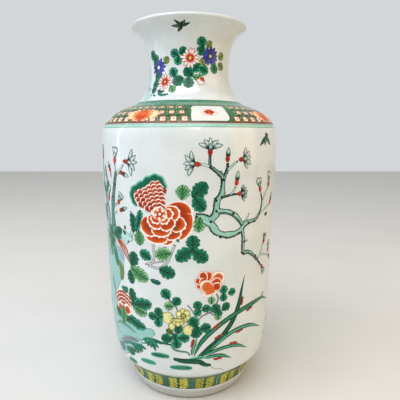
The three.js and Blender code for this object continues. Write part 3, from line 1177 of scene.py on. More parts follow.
def oval_wheel(place, petals, wide_mm, high_mm, pigment, width, layer, steps, skew=0):
    """Petals round a place, longer sideways than up and down."""
    for k in range(petals):
        way = math.tau * (k + skew) / petals
        x, y = wide_mm * math.cos(way), high_mm * math.sin(way)
        spoke = shifted(place, 0, 0, math.degrees(math.atan2(y, x)) - 90)
        daub("shoulder", pigment, spoke, math.hypot(x, y), width, petal_shape,
             layer=layer + k % 2, steps=steps)


def paint_shoulder_flower(middle):
    """A chrysanthemum that is wider than high: cream petals, orange ones on them, a red heart."""
    place = spot(middle, 350.2)
    oval_wheel(place, 18, 23, 11, "ray_cream", 5, 3, 7)
    oval_wheel(place, 13, 16, 8, "ray_orange", 4, 5, 7, 0.5)
    daub("shoulder", "iron_orange", shifted(place, 7.5, 1.0, 90), 15, 8, layer=8, steps=8)
    daub("shoulder", "olive", shifted(place, 4.5, 1.0, 90), 9, 2.6, layer=9, steps=6)


def paint_reserve(middle):
    """A white panel with cusped sides and a small plum blossom on it."""
    left, right = [], []
    for k in range(9):
        t = k / 8
        along = along_at(342.6 + 16.9 * t)
        cusp = 0.52 * abs(math.sin(math.pi * t * 1.5))
        left.append((middle - 13.3 - cusp, along))
        right.append((middle + 9.4 + 0.9 * t + cusp, along))
    lay("shoulder", "panel_white", left, right, 3, 0.0, 16)
    place = spot(middle - 2, 352.4)
    oval_wheel(place, 7, 10.5, 6.6, "pale_petal", 6.4, 4, 6)
    oval_wheel(place, 6, 6.6, 4.2, "iron_red", 4.2, 6, 6)
    dot("shoulder", "iron_orange", place, 1.6, 9)


for middle in FLOWER_ANGLES:
    paint_shoulder_flower(middle)
for middle in RESERVE_ANGLES:
    paint_reserve(middle)
print(len(FLOWER_ANGLES), "flowers and", len(RESERVE_ANGLES), "reserves on the shoulder")

# %% [markdown]
# The foot band stands in for a fret: sixteen panels, each with two yellow blocks on a grey-green
# ground, dashed with orange, bracketed with dark green between them, and parted by a light line
# between two dark ones.

# %% Foot band
FOOT_PANELS = 16
FIRST_DIVIDER = 2.5
PANEL_DEGREES = 360 / FOOT_PANELS
BLOCK_SHIFT = 4.3  # degrees from the middle of a panel to the middle of a block


def upright(pigment, place, across, reach, half_width, layer):
    """An upright line of some reach above and below the middle of a panel."""
    ends = [place(across, -reach), place(across, reach)]
    stroke("foot", pigment, ends, lambda t: half_width, 6, layer, 0.05, 2)


def dash(pigment, place, across, up, length, width, layer, steps):
    """A level dash of the brush, from its right end to its left."""
    daub("foot", pigment, shifted(place, across, up, 90), length, width, layer=layer, steps=steps,
         across=2)


def paint_divider(angle, middle_pigment):
    """Three upright lines between two panels."""
    for shift, pigment in ((-1.2, "ink_green"), (0.0, middle_pigment), (1.2, "ink_green")):
        line = up_wall([(angle + shift, height) for height in (18.0, 29, 39.0)])
        stroke("foot", pigment, line, lambda t: 0.45, 8, 2, 0.05, 2)


def paint_block(angle, way):
    """A yellow block with its marks, on the left (-1) or on the right (1) of a panel."""
    place = spot(angle, 28.0)
    box_patch("foot", "foot_yellow", place, 5.7, 11.0, 2, 0.0, 6, 4)
    for up in (-7.0, -1.5, 4.0):
        dash("iron_orange", place, 2.6 * way + 2.0, up, 4.4, 1.8, 3, 5)
    upright("ink_green", place, -1.0 * way, 9.0, 0.8, 3)
    for up in (-3.6, 1.8, 7.6):
        dash("ink_green", place, 2.0 - 0.8 * way, up, 4.8, 2.0, 3, 4)
    upright("foot_green", place, 6.6 * way, 10.5, 0.9, 2)


for number in range(FOOT_PANELS):
    divider = FIRST_DIVIDER + number * PANEL_DEGREES
    middle = divider + PANEL_DEGREES / 2
    paint_divider(divider, "white" if number % 3 else "aubergine")
    for way in (-1, 1):
        paint_block(middle + BLOCK_SHIFT * way, way)
    place = spot(middle, 28.0)
    upright("ink_green", place, 0, 10.0, 0.9, 3)
    for up in (-6, 0, 6):
        dash("ink_green", place, 3.8, up, 7.6, 2.4, 4, 4)
print("foot band painted")

# %% [markdown]
# A spray of chrysanthemums grows round the neck out of a strip of turquoise rock, with a bee
# above it.

# %% Neck
NECK_LEAVES = (  # angle, height, radius, turn, pigment
    (-17, 420.5, 5.6, 60, "teal"), (-6.5, 423, 5, -40, "leaf_green"),
    (-13, 413.5, 5.4, 170, "leaf_green"), (17.5, 432.5, 6, 20, "leaf_green"),
    (17.5, 424.5, 5.8, 160, "leaf_green"), (27.5, 431, 4.2, -30, "olive"),
    (49, 420, 4.9, -60, "olive"), (49, 409, 5, -120, "olive"), (37, 405.5, 5.8, 180, "leaf_green"),
    (19.5, 411.5, 4.6, -160, "olive"), (20.5, 403, 6.2, -120, "leaf_green"),
    (10.5, 405, 6.4, -40, "leaf_green"), (1, 399.5, 6.6, 40, "leaf_green"),
    (0.5, 388.5, 6.8, 175, "leaf_green"), (-12.5, 390.5, 7, 120, "leaf_green"),
    (-19.5, 399.5, 6, 20, "teal"), (10, 394, 4, -100, "light_green"),
    (16, 396, 3.6, -70, "light_green"), (-55.5, 421.5, 6.2, 40, "leaf_green"),
    (-50, 416, 6.2, -20, "leaf_green"), (-30.5, 414, 4.6, -40, "olive"),
    (-19.5, 381, 5, -150, "light_green"), (-44.5, 397.5, 6, 170, "leaf_green"),
    (-46.5, 388.5, 6, 180, "leaf_green"), (-47, 381, 4.6, 180, "teal"),
)
NECK_ROCK = ((-78, 414), (-70, 404), (-66, 392), (-63, 381), (-56, 373), (-48, 370.5))
NECK_TUFTS = (  # angle, height, turn
    (-66, 384, 30), (-60, 380, -40), (-54, 374, 70), (-66, 394, 10), (-46, 374, 80),
    (-52, 380, -30), (-70, 402, 0), (-40, 373, 60),
)
NECK_TWIGS = (((-38, 376.5), (-31, 374), (-23, 375)), ((-40, 380), (-34, 378), (-30, 379)))
NECK_DAISIES = (  # pigment, angle, height, radius, petals, heart, ring round the heart
    ("ray_blue", 30.5, 418.5, 12.0, 13, "yellow", None),
    ("ray_blue", -44, 407, 12.0, 12, "white", None),
    ("ray_red", 2.8, 415.5, 12.6, 13, "yellow", "iron_red"),
    ("ray_red", -31, 389.5, 10.8, 12, "yellow", "iron_red"),
)
BEE_WINGS = ((-62, 8.0), (-25, 6.5), (52, 8.5), (95, 9.0), (150, 6.0))  # turn, length


def paint_neck():
    """The spray on the neck, from the rock upwards, and a half-open flower below it."""
    insect("neck", -6.5, 448, -8, 1.35, 3.6, BEE_WINGS)
    stroke("neck", "pale_wash", up_wall(NECK_ROCK), lambda t: 3.0 + 3.4 * t)
    for angle, height, turn in NECK_TUFTS:
        daub("neck", "ink_green", spot(angle, height, turn), 6.5, 2.2, leaf_shape, layer=3,
             steps=6, across=2)
    for angle, height, radius, turn, pigment in NECK_LEAVES:
        round_leaf("neck", pigment, angle, height, radius, turn)
    for points in NECK_TWIGS:
        stroke("neck", "teal", up_wall(points), lambda t: 1.9 * oval(0.08 + 0.84 * t), layer=2)
    for pigment, angle, height, radius, petals, heart, core in NECK_DAISIES:
        daisy("neck", pigment, spot(angle, height), radius, petals, heart, core)
    for turn, length in ((146, 11), (122, 10), (165, 9), (100, 7)):
        daub("neck", "ray_red", spot(20.0, 394, turn), length, 5.0, petal_shape, layer=4, steps=8)


print("neck planned:", len(NECK_LEAVES), "leaves")

# %% [markdown]
# The large peony is the vase's chief flower. Its outer petals are broad crescents, each with a
# white edge, and each ring inside lies over the last. Behind it a second flower is seen from the
# side as a fan of scale-like petals under a ruffled green leaf.

# %% Plan of the large peony
PEONY_PETALS = (  # start and end in degrees, radii of its edge between them; outermost first
    (48, -9, 12, 20, 26.5, 30.5, 32.8, 33.2, 33),
    (3, -56, 33, 34.5, 36, 36.3, 36, 35),
    (-60, -88, 30.5, 34, 34.8, 33.5),
    (-74, -127, 30, 32.4, 33.4, 33, 29.5),
    (-104, -166, 26.5, 28.5, 28, 25.2, 18),
    (-38, -78, 28.5, 31.2, 31.5, 30.5, 27.5),
    (-4, -56, 21, 26.5, 29.4, 28.8, 26.5, 23),
    (-54, -120, 22, 24.4, 25.4, 24.8, 20),
    (48, -28, 10.5, 16.5, 20.4, 21, 19.8, 17),
    (-82, -172, 15.5, 17.6, 18, 17, 15.2, 12.5),
    (-18, -90, 16.6, 19.8, 20.3, 19.6, 16.5),
    (44, -34, 9, 13.2, 14.6, 13.8, 11),
    (-86, -166, 10, 12, 12.5, 12, 9.5),
    (-18, -92, 10.5, 12.6, 12.8, 12, 10.2),
)
PEONY_HEART = [8.8, 8.2, 7.4, 8, 8.9, 9.2, 8.2, 7.2, 8.4, 9.2, 8.8]  # radii round the heart
CONE_OUTLINE = (  # degrees, mm
    (62, 12), (70, 19), (74.5, 26), (78, 31.5), (84, 34.5), (91, 37.4), (98, 37.6), (105.5, 35.8),
    (113, 33.8), (120, 32), (127, 34.6), (133, 36.8), (139, 36.2), (146, 32.8), (152, 28.6),
    (159, 22.5), (164, 16.5),
)
CAP_OUTSIDE = (  # across and up in mm
    (-25.5, 5), (-30.7, 10.7), (-32.8, 18.2), (-32, 25.7), (-27.5, 30.5), (-18, 37), (-12.5, 41.2),
    (-6, 44), (0.3, 44.2), (5.7, 40.2), (9.2, 34.4), (10.2, 29), (8, 24.5),
)
CAP_INSIDE = (  # across and up in mm
    (-23, 7.5), (-26, 13.5), (-26.5, 19), (-25, 22), (-22, 24), (-14, 29), (-9, 33), (-4, 35.5),
    (0, 35), (2.5, 32), (4, 29), (5, 27), (6.5, 25),
)
CAP_STEPS = 60
PEONY_LEAVES = (  # base and tip as angle and height, width, pigment
    ((-3, 260), (-2.5, 276.5), 14, "light_green"),
    ((2.5, 263), (10.5, 279), 15, "leaf_green"),
    ((4, 264), (10, 248), 14, "leaf_green"),
    ((3, 203), (2.5, 221), 14, "leaf_green"),
    ((4, 205), (-6.5, 191.5), 14.5, "leaf_green"),
    ((3, 205), (12, 191.5), 14.5, "leaf_green"),
    ((7.5, 242), (6.5, 224), 13.5, "light_green"),
    ((-9, 200), (-19, 195), 14.5, "light_green"),
    ((-17, 181.5), (-7, 176), 14, "leaf_green"),
    ((-22, 190.5), (-30, 198), 12, "leaf_green"),
    ((-38, 174), (-36.5, 156.5), 11, "leaf_green"),
    ((-38, 178), (-24, 166.5), 15.5, "light_green"),
    ((-37, 178), (-34.5, 197), 14.5, "leaf_green"),
    ((-29.5, 223), (-29, 205.5), 12.5, "light_green"),
    ((-34, 219), (-34.5, 242), 9, "teal"),
    ((-32, 221), (-28, 247), 9.5, "leaf_green"),
    ((-57, 214), (-46, 211), 8, "leaf_green"),
    ((-66.5, 213), (-61, 203), 7, "leaf_green"),
)
PEONY_STEMS = (  # points, width at the start and at the end, layer
    (((-20.5, 211), (-20.0, 200), (-20, 193), (-21.5, 187), (-24, 184)), 3.4, 3.0, 1),
    (((-24, 184), (-21.5, 182.5), (-17.5, 181.5), (-13.5, 186), (-11, 192), (-9.5, 199), (-7, 210)),
     3.4, 2.8, 1),
    (((-12.5, 211), (-12.8, 205)), 2.4, 2.0, 1),
    (((-26, 184.5), (-20, 187.5), (-14, 190)), 2.2, 1.6, 2),
)

print(len(PEONY_PETALS), "petals and", len(PEONY_LEAVES), "leaves planned")

# %% [markdown]
# The fan of scales and its green ruffle lie on one sheet, and the round flower in front of them
# on another, each a little wider on one side, as they are drawn on the vase.

# %% Paint the large peony
def paint_cap(sheet):
    """The ruffled green leaf over the fan of scales."""
    edges = [
        trace([sheet(*point) for point in line], CAP_STEPS) for line in (CAP_OUTSIDE, CAP_INSIDE)
    ]
    for k, (outer, inner) in enumerate(zip(*edges)):
        dip = 0.16 * (1 - abs(math.sin(0.42 * k)))
        edges[0][k] = tuple(o + (i - o) * dip for o, i in zip(outer, inner))
    lay("peony", "cap_green", *edges, 1, 0.1, 8, [0.0] * (CAP_STEPS + 1))


def paint_peony():
    """The large peony with its scaled neighbour, stems and leaves."""
    middle = spot(-15.5, 244)

    def fan(across, up):
        """The sheet of the scaled flower, wider on its left."""
        return middle(across * (1.2 if across < 0 else 0.93), up)

    def broad(across, up):
        """The sheet of the round flower, stretched as it is on the vase."""
        return middle(across * (1.2 if across < 0 else 1.12), up * (1.08 if up < 0 else 1.16))

    paint_cap(fan)
    scale_fan("peony", fan, CONE_OUTLINE)
    for number, (start, end, *radii) in enumerate(PEONY_PETALS):
        crescent("peony", "red_petal", broad, start, end, radii, 3 + number)
    crescent("peony", "red_petal", middle, 0, 360, PEONY_HEART, 17, 5.6, 0.9, 0)
    dot("peony", "iron_orange", middle, 6.7, 18, dome=0.02)
    for k in range(5):
        bead = shifted(shifted(middle, 0, 0, 72 * k + 30), 0, 5.1)
        dot("peony", "cream_petal", bead, 1.8, 19, 1, 0.03)
    dot("peony", "scale_dark", middle, 3.3, 20, 1, 0.02)
    dot("peony", "cream_petal", middle, 1.9, 21, 1, 0.05)
    for angle, height, turn in ((-6.8, 231, 200), (-6.0, 216.5, 220)):
        daub("peony", "light_green", spot(angle, height, turn), 4.0, 3.2, layer=19, steps=6)
    for points, start_mm, end_mm, layer in PEONY_STEMS:
        stem("peony", points, start_mm, end_mm, "stem_grey", layer)
    leaf("peony", "teal", (-23, 167), (-16, 164), 5.5, 2, 2)
    for number, (base, tip, width, pigment) in enumerate(PEONY_LEAVES):
        leaf("peony", pigment, base, tip, width, 2 + number % 3)


print("the large peony can be painted")

# %% [markdown]
# Two magnolia trees: one rises along the rock at the left, thin and straight, and the other
# stretches out at the right in knotted loops. The wood is turquoise between brown-black lines,
# darker on its lower side.

# %% Left magnolia
LEFT_SPIRE = (  # the pale rock behind the left tree, its left and its right outline
    ((-88, 200), (-86, 228), (-79, 252), (-81, 282), (-73, 322)),
    ((-58, 200), (-60, 235), (-64, 262), (-63, 285), (-72, 321)),
)
LEFT_LEAVES = (  # base and tip as angle and height, width
    ((-54, 211), (-44.5, 221), 12), ((-54, 213), (-45.5, 209), 9), ((-56, 208), (-61, 220), 12),
    ((-57, 209), (-66, 202), 10), ((-66, 226), (-70, 244), 11), ((-62, 262), (-57.5, 275), 8),
    ((-64, 258), (-69, 272), 10), ((-55, 204), (-60, 194), 9),
)
LEFT_TWIGS = (  # points, width at the start and at the end
    (((-47, 286), (-47.5, 292), (-48, 296.5)), 2.2, 1.8),
    (((-46.5, 285), (-43, 289), (-39.5, 295.5)), 2.4, 1.8),
    (((-46.5, 284), (-43, 286)), 1.8, 1.4),
    (((-52, 236), (-48.5, 240.5)), 2.2, 1.5),
    (((-51, 246), (-48, 250)), 2.2, 1.5),
)
LEFT_EYES = (
    (-51.8, 257), (-54, 222), (-49, 272), (-62, 245), (-42.5, 218), (-65, 225), (-56, 205),
)


def paint_left_magnolia():
    """The straight tree along the rock, with its buds and half-open flowers."""
    group = "left_magnolia"
    trunk = [(-57, 198), (-54, 219), (-54, 234), (-53, 248), (-51, 262), (-49, 274), (-47, 287)]
    branch(group, trunk, 10.5, 4.2, "shadow_wood", 2, (0.3, 0.6), (0.35, 0.7), "left")
    patch(group, "pale_wash", *LEFT_SPIRE, 30, 0)
    back_trunk = [(-66, 180), (-62, 215), (-60, 237), (-63, 257), (-60, 268), (-62, 292)]
    branch(group, back_trunk, 8.0, 3.0, "shadow_wood", 1, (0.4,), (), "left")
    for base, tip, width in LEFT_LEAVES:
        leaf(group, "leaf_green", base, tip, width, 5)
    branch(group, [(-64, 235), (-66, 265), (-67, 300)], 4.2, 2.4, layer=1, shaded="left")
    for points, start_mm, end_mm in LEFT_TWIGS:
        branch(group, points, start_mm, end_mm)
    eyes(group, LEFT_EYES, 1.3)
    cup(group, (-47.7, 299), (-46.8, 312), 1.15, 5)
    magnolia(group, (-38.0, 299.5), (-30, 298), 1.1)
    bud(group, (-41.5, 286.5), (-34, 282))
    cup(group, (-46.0, 251.5), (-42, 263), 0.95)
    bud(group, (-44.0, 243), (-37, 248))
    bud(group, (-54.0, 288), (-57.0, 300), 0.9)
    for angle, height, turn in ((-53.0, 279, 8), (-62, 280, 0), (-66, 300, 0)):
        daub(group, "iron_red", spot(angle, height, turn), 10.5, 2.8, pointed, layer=4, steps=8)
    cup(group, (-66.5, 302), (-67, 315))
    cup(group, (-58.5, 254), (-57.5, 268), 1.2)


print("left magnolia planned:", len(LEFT_TWIGS), "twigs")

# %% [markdown]
# The right tree grows in loops. Its wood is given as lines with a width at either end, and with
# the places of its knots and thorns. The ink eyes of the knots are laid on last.

# %% Right magnolia
RIGHT_BRANCHES = (  # points, width at the start and at the end, knots, thorns
    (((4.5, 241), (9, 239.5), (13, 238), (16, 243.5), (16.5, 251), (17, 259), (19.5, 266),
      (20, 274), (20.3, 281)), 9.5, 4.3, (0.12, 0.4, 0.62, 0.78), (0.45, 0.52, 0.7, 0.83, 0.9)),
    (((20.3, 279), (19.6, 283.5), (16.8, 289), (12.5, 296)), 4.3, 2.6, (), (0.5,)),
    (((12.5, 295.5), (9.5, 297.5), (6, 298)), 2.6, 1.8, (), ()),
    (((12.5, 295), (12.4, 301), (12.5, 307.5)), 3, 2.6, (), ()),
    (((20.2, 279), (20.8, 284), (22.4, 291), (22.6, 299)), 4, 2, (), ()),
    (((22.5, 291), (25, 295), (29, 300.5)), 2.6, 2, (), ()),
    (((19, 262), (22.5, 263), (25, 264), (29.5, 264.5)), 2.8, 1.7, (), (0.5,)),
    (((24.5, 264), (26, 266), (28, 272.5)), 2.2, 1.6, (), ()),
    (((16.3, 246.5), (20.5, 246.5), (26.5, 243), (31, 236), (34, 228)), 5.2, 4.2, (0.6,),
     (0.3, 0.5, 0.62)),
    (((8.5, 238), (13.5, 232), (17.5, 222.5), (22, 219.5), (28, 219.5), (32.5, 222.5), (36, 229),
      (40, 231), (44, 231.5), (48.5, 238)), 8.2, 3.4, (0.2, 0.42, 0.6, 0.72),
     (0.3, 0.45, 0.66, 0.8)),
    (((48.3, 237.5), (50, 244), (50.5, 253), (49, 262)), 3, 1.8, (), (0.5,)),
    (((50, 247), (53, 257), (57, 266.5)), 2.4, 1.6, (), ()),
    (((48, 237), (53, 240.5), (60.5, 245.5)), 2.4, 1.4, (), ()),
    (((35, 232), (37.5, 236), (38.8, 241)), 2.2, 0.6, (), ()),
    (((33.5, 224), (34.8, 214), (35, 204), (35, 194.5)), 4, 3.8, (0.5, 0.96), (0.35, 0.6)),
    (((35, 194.5), (40, 194.5), (45, 188), (48.5, 182), (53, 173)), 4.2, 1.8, (0.3,),
     (0.35, 0.55)),
    (((48.5, 183), (52, 185.5), (58, 184), (66, 179)), 2.4, 1.4, (), ()),
    (((51.5, 185), (53.5, 191), (55.5, 200)), 1.8, 1.2, (), ()),
    (((35, 208), (38.5, 209)), 1.8, 1.2, (), ()),
)
BARK_SHADES = (  # points, half the width in mm
    (((18.6, 291), (20.3, 284), (19.6, 276), (18.5, 266)), 0.8),
    (((17.5, 243.8), (22, 243.8), (26.8, 240), (31, 232.5)), 1.0),
    (((40, 192.5), (44, 187.5), (47.5, 181)), 0.8),
)
RIGHT_EYES = (
    (20.2, 281), (19.6, 262), (16.3, 258.8), (16.5, 247), (27, 242.8), (13.3, 235.5),
    (19.2, 217.5), (31.5, 219.5), (38.3, 230), (43.8, 230.3), (35, 194.8), (5.2, 241.5),
    (35.8, 208.5), (46.5, 187),
)
FLY_WINGS = ((128, 14.5), (-132, 13), (162, 9.0), (-60, 5))  # turn, length
UPRIGHT_MM = 14  # a branch that rises more than this is darker on its left


def paint_right_magnolia():
    """The knotted tree that loops out to the right, and a fly above it."""
    group = "right_magnolia"
    for points, start_mm, end_mm, knots, thorns in RIGHT_BRANCHES:
        shaded = "left" if points[-1][1] - points[0][1] > UPRIGHT_MM else "right"
        branch(group, points, start_mm, end_mm, None, 2, knots, thorns, shaded)
    hollow = up_wall([(9, 234.5), (14, 228.5), (17.5, 220.5), (19, 217.8)])
    stroke(group, "bark_shade", hollow, lambda t: 1.5 * oval(0.1 + 0.8 * t), layer=4)
    for points, half_width in BARK_SHADES:
        stroke(group, "bark_shade", up_wall(points), lambda t: half_width, layer=4)
    eyes(group, RIGHT_EYES)
    magnolia(group, (6.2, 298), (-2, 300))
    magnolia(group, (12.5, 309.5), (13, 320))
    magnolia(group, (31, 302), (35.5, 303), 0.95)
    bud(group, (22.6, 302.5), (23.2, 314), 1.05)
    bud(group, (28.6, 276.5), (29.6, 289), 1.1)
    magnolia(group, (30.5, 264.5), (37, 265.5), 0.75)
    cup(group, (48.0, 266), (46.2, 278), 1.05, 5)
    cup(group, (58.0, 270), (59, 285), 1.1, 5)
    bud(group, (62.5, 248), (66, 260), 1.1)
    daub(group, "ink", spot(55, 234, -75), 8, 5, leaf_shape, 3, 0.3, layer=3, steps=9)
    cup(group, (54.5, 170.5), (58.5, 160), 0.95)
    cup(group, (56, 201), (57.5, 211), 0.8, 2)
    bud(group, (67, 178), (71, 172), 0.8)
    cup(group, (65, 186), (66, 198), 0.9)
    insect(group, 53.0, 326.5, 0, 1.15, 5.0, FLY_WINGS)


print("magnolias planned:", len(RIGHT_BRANCHES), "right branches")

# %% [markdown]
# Under the trees stand a pierced garden rock in turquoise with striped peonies behind it, a
# small orange peony and a yellow flower with round leaves, and a clump of orchid grass. The rock
# is laid in three masses and shaded with wet washes.

# %% Rock and striped peonies
WASH_SPREAD = 1.5  # how far a wet wash spreads past the brush
ROCK_MASSES = (  # left and right outline, steps along them, layer, steps across
    (((-67, 236), (-80, 226), (-90, 207), (-86, 190), (-95, 168), (-90, 150), (-99, 128),
      (-97, 104)),
     ((-65, 235), (-55, 209), (-48, 193), (-44.5, 178), (-45.5, 165), (-50, 152), (-54, 139),
      (-56, 122), (-54, 106)), 40, 1, 14),
    (((-104, 83), (-98, 99), (-86, 106), (-70, 107), (-58, 105), (-47, 113), (-40, 110.5),
      (-34, 105.5), (-27, 105), (-22.5, 105.5), (-21, 100.5)),
     ((-104, 81), (-100, 66), (-88, 57), (-72, 58), (-60, 67), (-52, 79), (-44, 85), (-37, 86),
      (-30, 88), (-25, 92.5), (-21.8, 98)), 40, 2, 14),
    (((-70, 64), (-58, 74), (-50, 83), (-42, 87), (-34, 88)),
     ((-64, 50), (-54, 52), (-48, 58), (-40, 70), (-30, 84)), 24, 1, 8),
)
ROCK_HEAD = (  # the small head of the rock beside the striped petal
    ((-46.5, 214), (-43, 221), (-38.5, 217), (-35, 214.5)),
    ((-43.5, 207), (-40.5, 203.5), (-38.5, 206.5), (-35, 209.5)),
)
ROCK_HORN = ((-36.5, 214), (-34, 224), (-33.5, 236), (-35.5, 244))
ROCK_EYES = ((-41, 223.5, 1.5), (-41.3, 216.5, 1.5), (-38.7, 207.3, 1.1), (-35.5, 239.5, 1.1))
ROCK_WASHES = (  # points, width of the brush in mm, pigment
    (((-56, 68), (-51, 76), (-46.5, 80), (-40, 83.5), (-35, 83.5)), 3, "aubergine"),
    (((-60, 60), (-54, 68), (-48, 74), (-41, 78), (-34, 79)), 4.4, "rock_shade"),
    (((-60, 92), (-53, 98), (-46, 99), (-40, 97), (-36, 94)), 4.2, "rock_shade"),
    (((-58, 98), (-52, 96), (-46, 93.5)), 3, "blue_wash"),
    (((-70, 92), (-62, 88), (-56, 80)), 3.6, "rock_shade"),
    (((-58, 204), (-53.5, 186), (-51, 172)), 8, "rock_green"),
    (((-50, 197), (-46, 189), (-44.5, 181)), 7, "blue_wash"),
    (((-50, 179), (-47, 170), (-47.5, 157)), 6.4, "olive"),
    (((-60, 156), (-59.5, 147), (-57, 137)), 5, "rock_shade"),
    (((-60, 215), (-56, 200), (-58, 184)), 4.4, "rock_shade"),
    (((-66, 172), (-64, 150), (-66, 128)), 4.6, "blue_wash"),
    (((-76, 200), (-74, 170), (-77, 140)), 5, "rock_shade"),
    (((-78, 96), (-70, 80), (-72, 66)), 4, "blue_wash"),
    (((-58, 206), (-60, 194), (-59, 182)), 5, "leaf_green"),
    (((-60, 150), (-57, 138), (-59, 126)), 3.6, "rock_shade"),
    (((-54, 60), (-48, 67), (-40, 72)), 4, "blue_wash"),
    (((-88, 196), (-84, 172), (-90, 140)), 6, "rock_green"),
    (((-96, 92), (-90, 76), (-80, 68)), 5, "rock_shade"),
    (((-84, 122), (-74, 116), (-66, 118)), 5, "rock_shade"),
)
STRIPED_PETAL = (  # angle, height, swell
    (-53, 210, 0.2), (-47, 204, 0.8), (-42.3, 195.5, 1), (-38.8, 183, 0.2),
)
STRIPES = (  # shift to the side in mm, pigment, half the width in mm, layer
    (0, "cream_petal", 5.4, 6), (-3.3, "iron_red", 1.15, 7), (0, "iron_red", 1.3, 7),
    (3.3, "iron_red", 1.15, 7),
)
SIDE_FLOWER_OUTLINE = ((42, 27), (70, 27), (95, 28), (140, 26))  # degrees, mm
ROCK_LEAVES = (  # base and tip as angle and height, width, pigment, layer
    ((-37, 133), (-38.5, 151), 11, "leaf_green", 7),
    ((-39, 132), (-22.5, 138), 15, "leaf_green", 8),
    ((-37.5, 130), (-26, 124), 13, "light_green", 9),
    ((-43, 113), (-27.5, 105), 12, "leaf_green", 7),
    ((-46, 108), (-58, 114), 13, "leaf_green", 8),
    ((-49, 100), (-47, 124), 12, "light_green", 14),
    ((-46, 107), (-36.5, 114), 12, "leaf_green", 7),
    ((-57, 210), (-60, 196), 10, "leaf_green", 8),
)
ROCK_TUFTS = (  # angle, height, size
    (-24.5, 93, 1.35), (-36.0, 80, 1.25), (-44, 70, 1.1), (-56, 66, 1.0), (-44.5, 149, 0.7),
)
TUFT_TURNS = (112, 222, 134, 200, 156, 178, 255)


def paint_rock():
    """The pierced rock with its washes, the striped flowers beside it, and tufts at its foot."""
    group = "rock"
    for left, right, steps, layer, across in ROCK_MASSES:
        patch(group, "rock", left, right, steps, layer, across)
    for points, width, pigment in ROCK_WASHES:
        half_width = WASH_SPREAD * width / 2
        stroke(group, pigment, up_wall(points), lambda t: half_width * oval(0.06 + 0.88 * t), layer=4)
    patch(group, "rock", *ROCK_HEAD, 14, 3, 6)
    stroke(group, "rock", up_wall(ROCK_HORN), lambda t: 2.6 - 1.6 * t, layer=2)
    for angle, height, size in ROCK_EYES:
        dot(group, "ink", spot(angle, height), size, 6, 1.6)
    for shift, pigment, half_width, layer in STRIPES:
        line = [(a + 0.36 * shift * swell, z + 0.7 * shift * swell) for a, z, swell in STRIPED_PETAL]
        stroke(group, pigment, up_wall(line), lambda t: half_width * leaf_shape(0.02 + 0.96 * t),
               16, layer, 0.02)
    side_flower = spot(-47, 117)
    scale_fan(group, side_flower, SIDE_FLOWER_OUTLINE, 4.6, 6.8, 5)
    for turn, length in ((62, 15), (-60, 16.5)):
        daub(group, "red_petal", shifted(side_flower, 0, -1.0, turn), length, 15.5, petal_shape,
             3, 0.1, layer=11, steps=12, across=6)
    for base, tip, width, pigment, layer in ROCK_LEAVES:
        leaf(group, pigment, base, tip, width, layer)
    for angle, height, size in ROCK_TUFTS:
        for k, turn in enumerate(TUFT_TURNS):
            daub(group, "tuft_green", spot(angle, height, turn, size), random.uniform(9, 12.5),
                 5.6, pointed, layer=5 + k % 3, steps=9)


print("rock planned:", len(ROCK_WASHES), "washes")

# %% [markdown]
# The small peony is built of single petals, each laid over the last, and the yellow flower of
# discs, a crown and a shell. Their round leaves are scalloped, as those on the neck are.

# %% Lower flowers
LOWER_LEAVES = (  # angle, height, radius, turn, pigment
    (22, 154.5, 5.4, 0, "leaf_green"), (27.5, 150.5, 5, -80, "leaf_green"),
    (22, 146, 5, 180, "leaf_green"), (6, 138.5, 5.6, 20, "leaf_green"),
    (11, 134.5, 5.2, -70, "leaf_green"), (6, 130.5, 5, 130, "leaf_green"),
    (17.2, 133, 6.2, 30, "leaf_green"), (23.5, 133.5, 5.6, -50, "leaf_green"),
    (19, 127.5, 5.2, 170, "leaf_green"), (3.5, 118, 7.4, 30, "leaf_green"),
    (10.5, 110.5, 6.6, -80, "leaf_green"), (5, 106.5, 7.6, 160, "leaf_green"),
    (14.3, 143.5, 4.6, 0, "light_green"), (18.6, 123.5, 4.6, 180, "light_green"),
    (-13, 151.5, 6.6, 40, "leaf_green"), (-6.8, 143.5, 5.6, -40, "leaf_green"),
    (-11.2, 137.5, 5.6, 90, "light_green"), (-18.2, 128.5, 5.6, 0, "leaf_green"),
    (-22.2, 122.5, 5.4, 90, "leaf_green"), (-18.6, 116, 5.8, 190, "leaf_green"),
    (-17.2, 122.5, 4.6, -60, "leaf_green"), (-6, 109.5, 6, 0, "teal"),
    (-11.2, 106, 4.4, 60, "olive"), (-13.2, 96.5, 6.6, 90, "leaf_green"),
    (-2.8, 99, 6.8, -80, "leaf_green"), (-7.2, 91.5, 6.4, 180, "leaf_green"),
    (-8, 99.5, 4.6, 0, "leaf_green"),
)
LOWER_PEONY = (  # base across and up, turn, length, width, how its rim is left white, pigment
    (1, -3, 144, 12.5, 11, "tip", "blush_petal"),
    (-1, -3, 176, 11.5, 12, "tip", "blush_petal"),
    (3, -2, -148, 11, 11, "tip", "blush_petal"),
    (2, -2, -44, 21.5, 18, "tip", "blush_petal"),
    (2, -3, -52, 15.5, 13, "tip", "small_petal"),
    (3, -3, -88, 12, 12, "tip", "small_petal"),
    (-4, 0, 96, 11, 9, "tip", "small_petal"),
    (-6, 3, 66, 11, 9.5, "tip", "small_petal"),
    (-1, 4, -6, 13, 11, "tip", "small_petal"),
    (-3, 5, 28, 13, 11, "tip", "small_petal"),
    (-2.5, 2.5, 60, 9.5, 9, "crown", "small_petal"),
    (5.5, -9.5, 44, 20, 15.5, "crown", "blush_petal"),
)
YELLOW_DISCS = (  # across and up from the yellow flower, radius, ways of its marks
    (-16.5, -4.0, 7.2, (-60, -100, -140)), (-11.5, -14.5, 4.8, (-100, -150)),
    (7.0, -18.5, 6.8, (-30, -75, -120)),
)
LOWER_STEMS = (
    ((17.0, 152), (18.4, 147), (18, 141), (16, 137), (13.8, 130), (15, 126.5), (18, 125.5)),
    ((13.8, 129.5), (9.5, 126.5), (6.0, 121)),
)
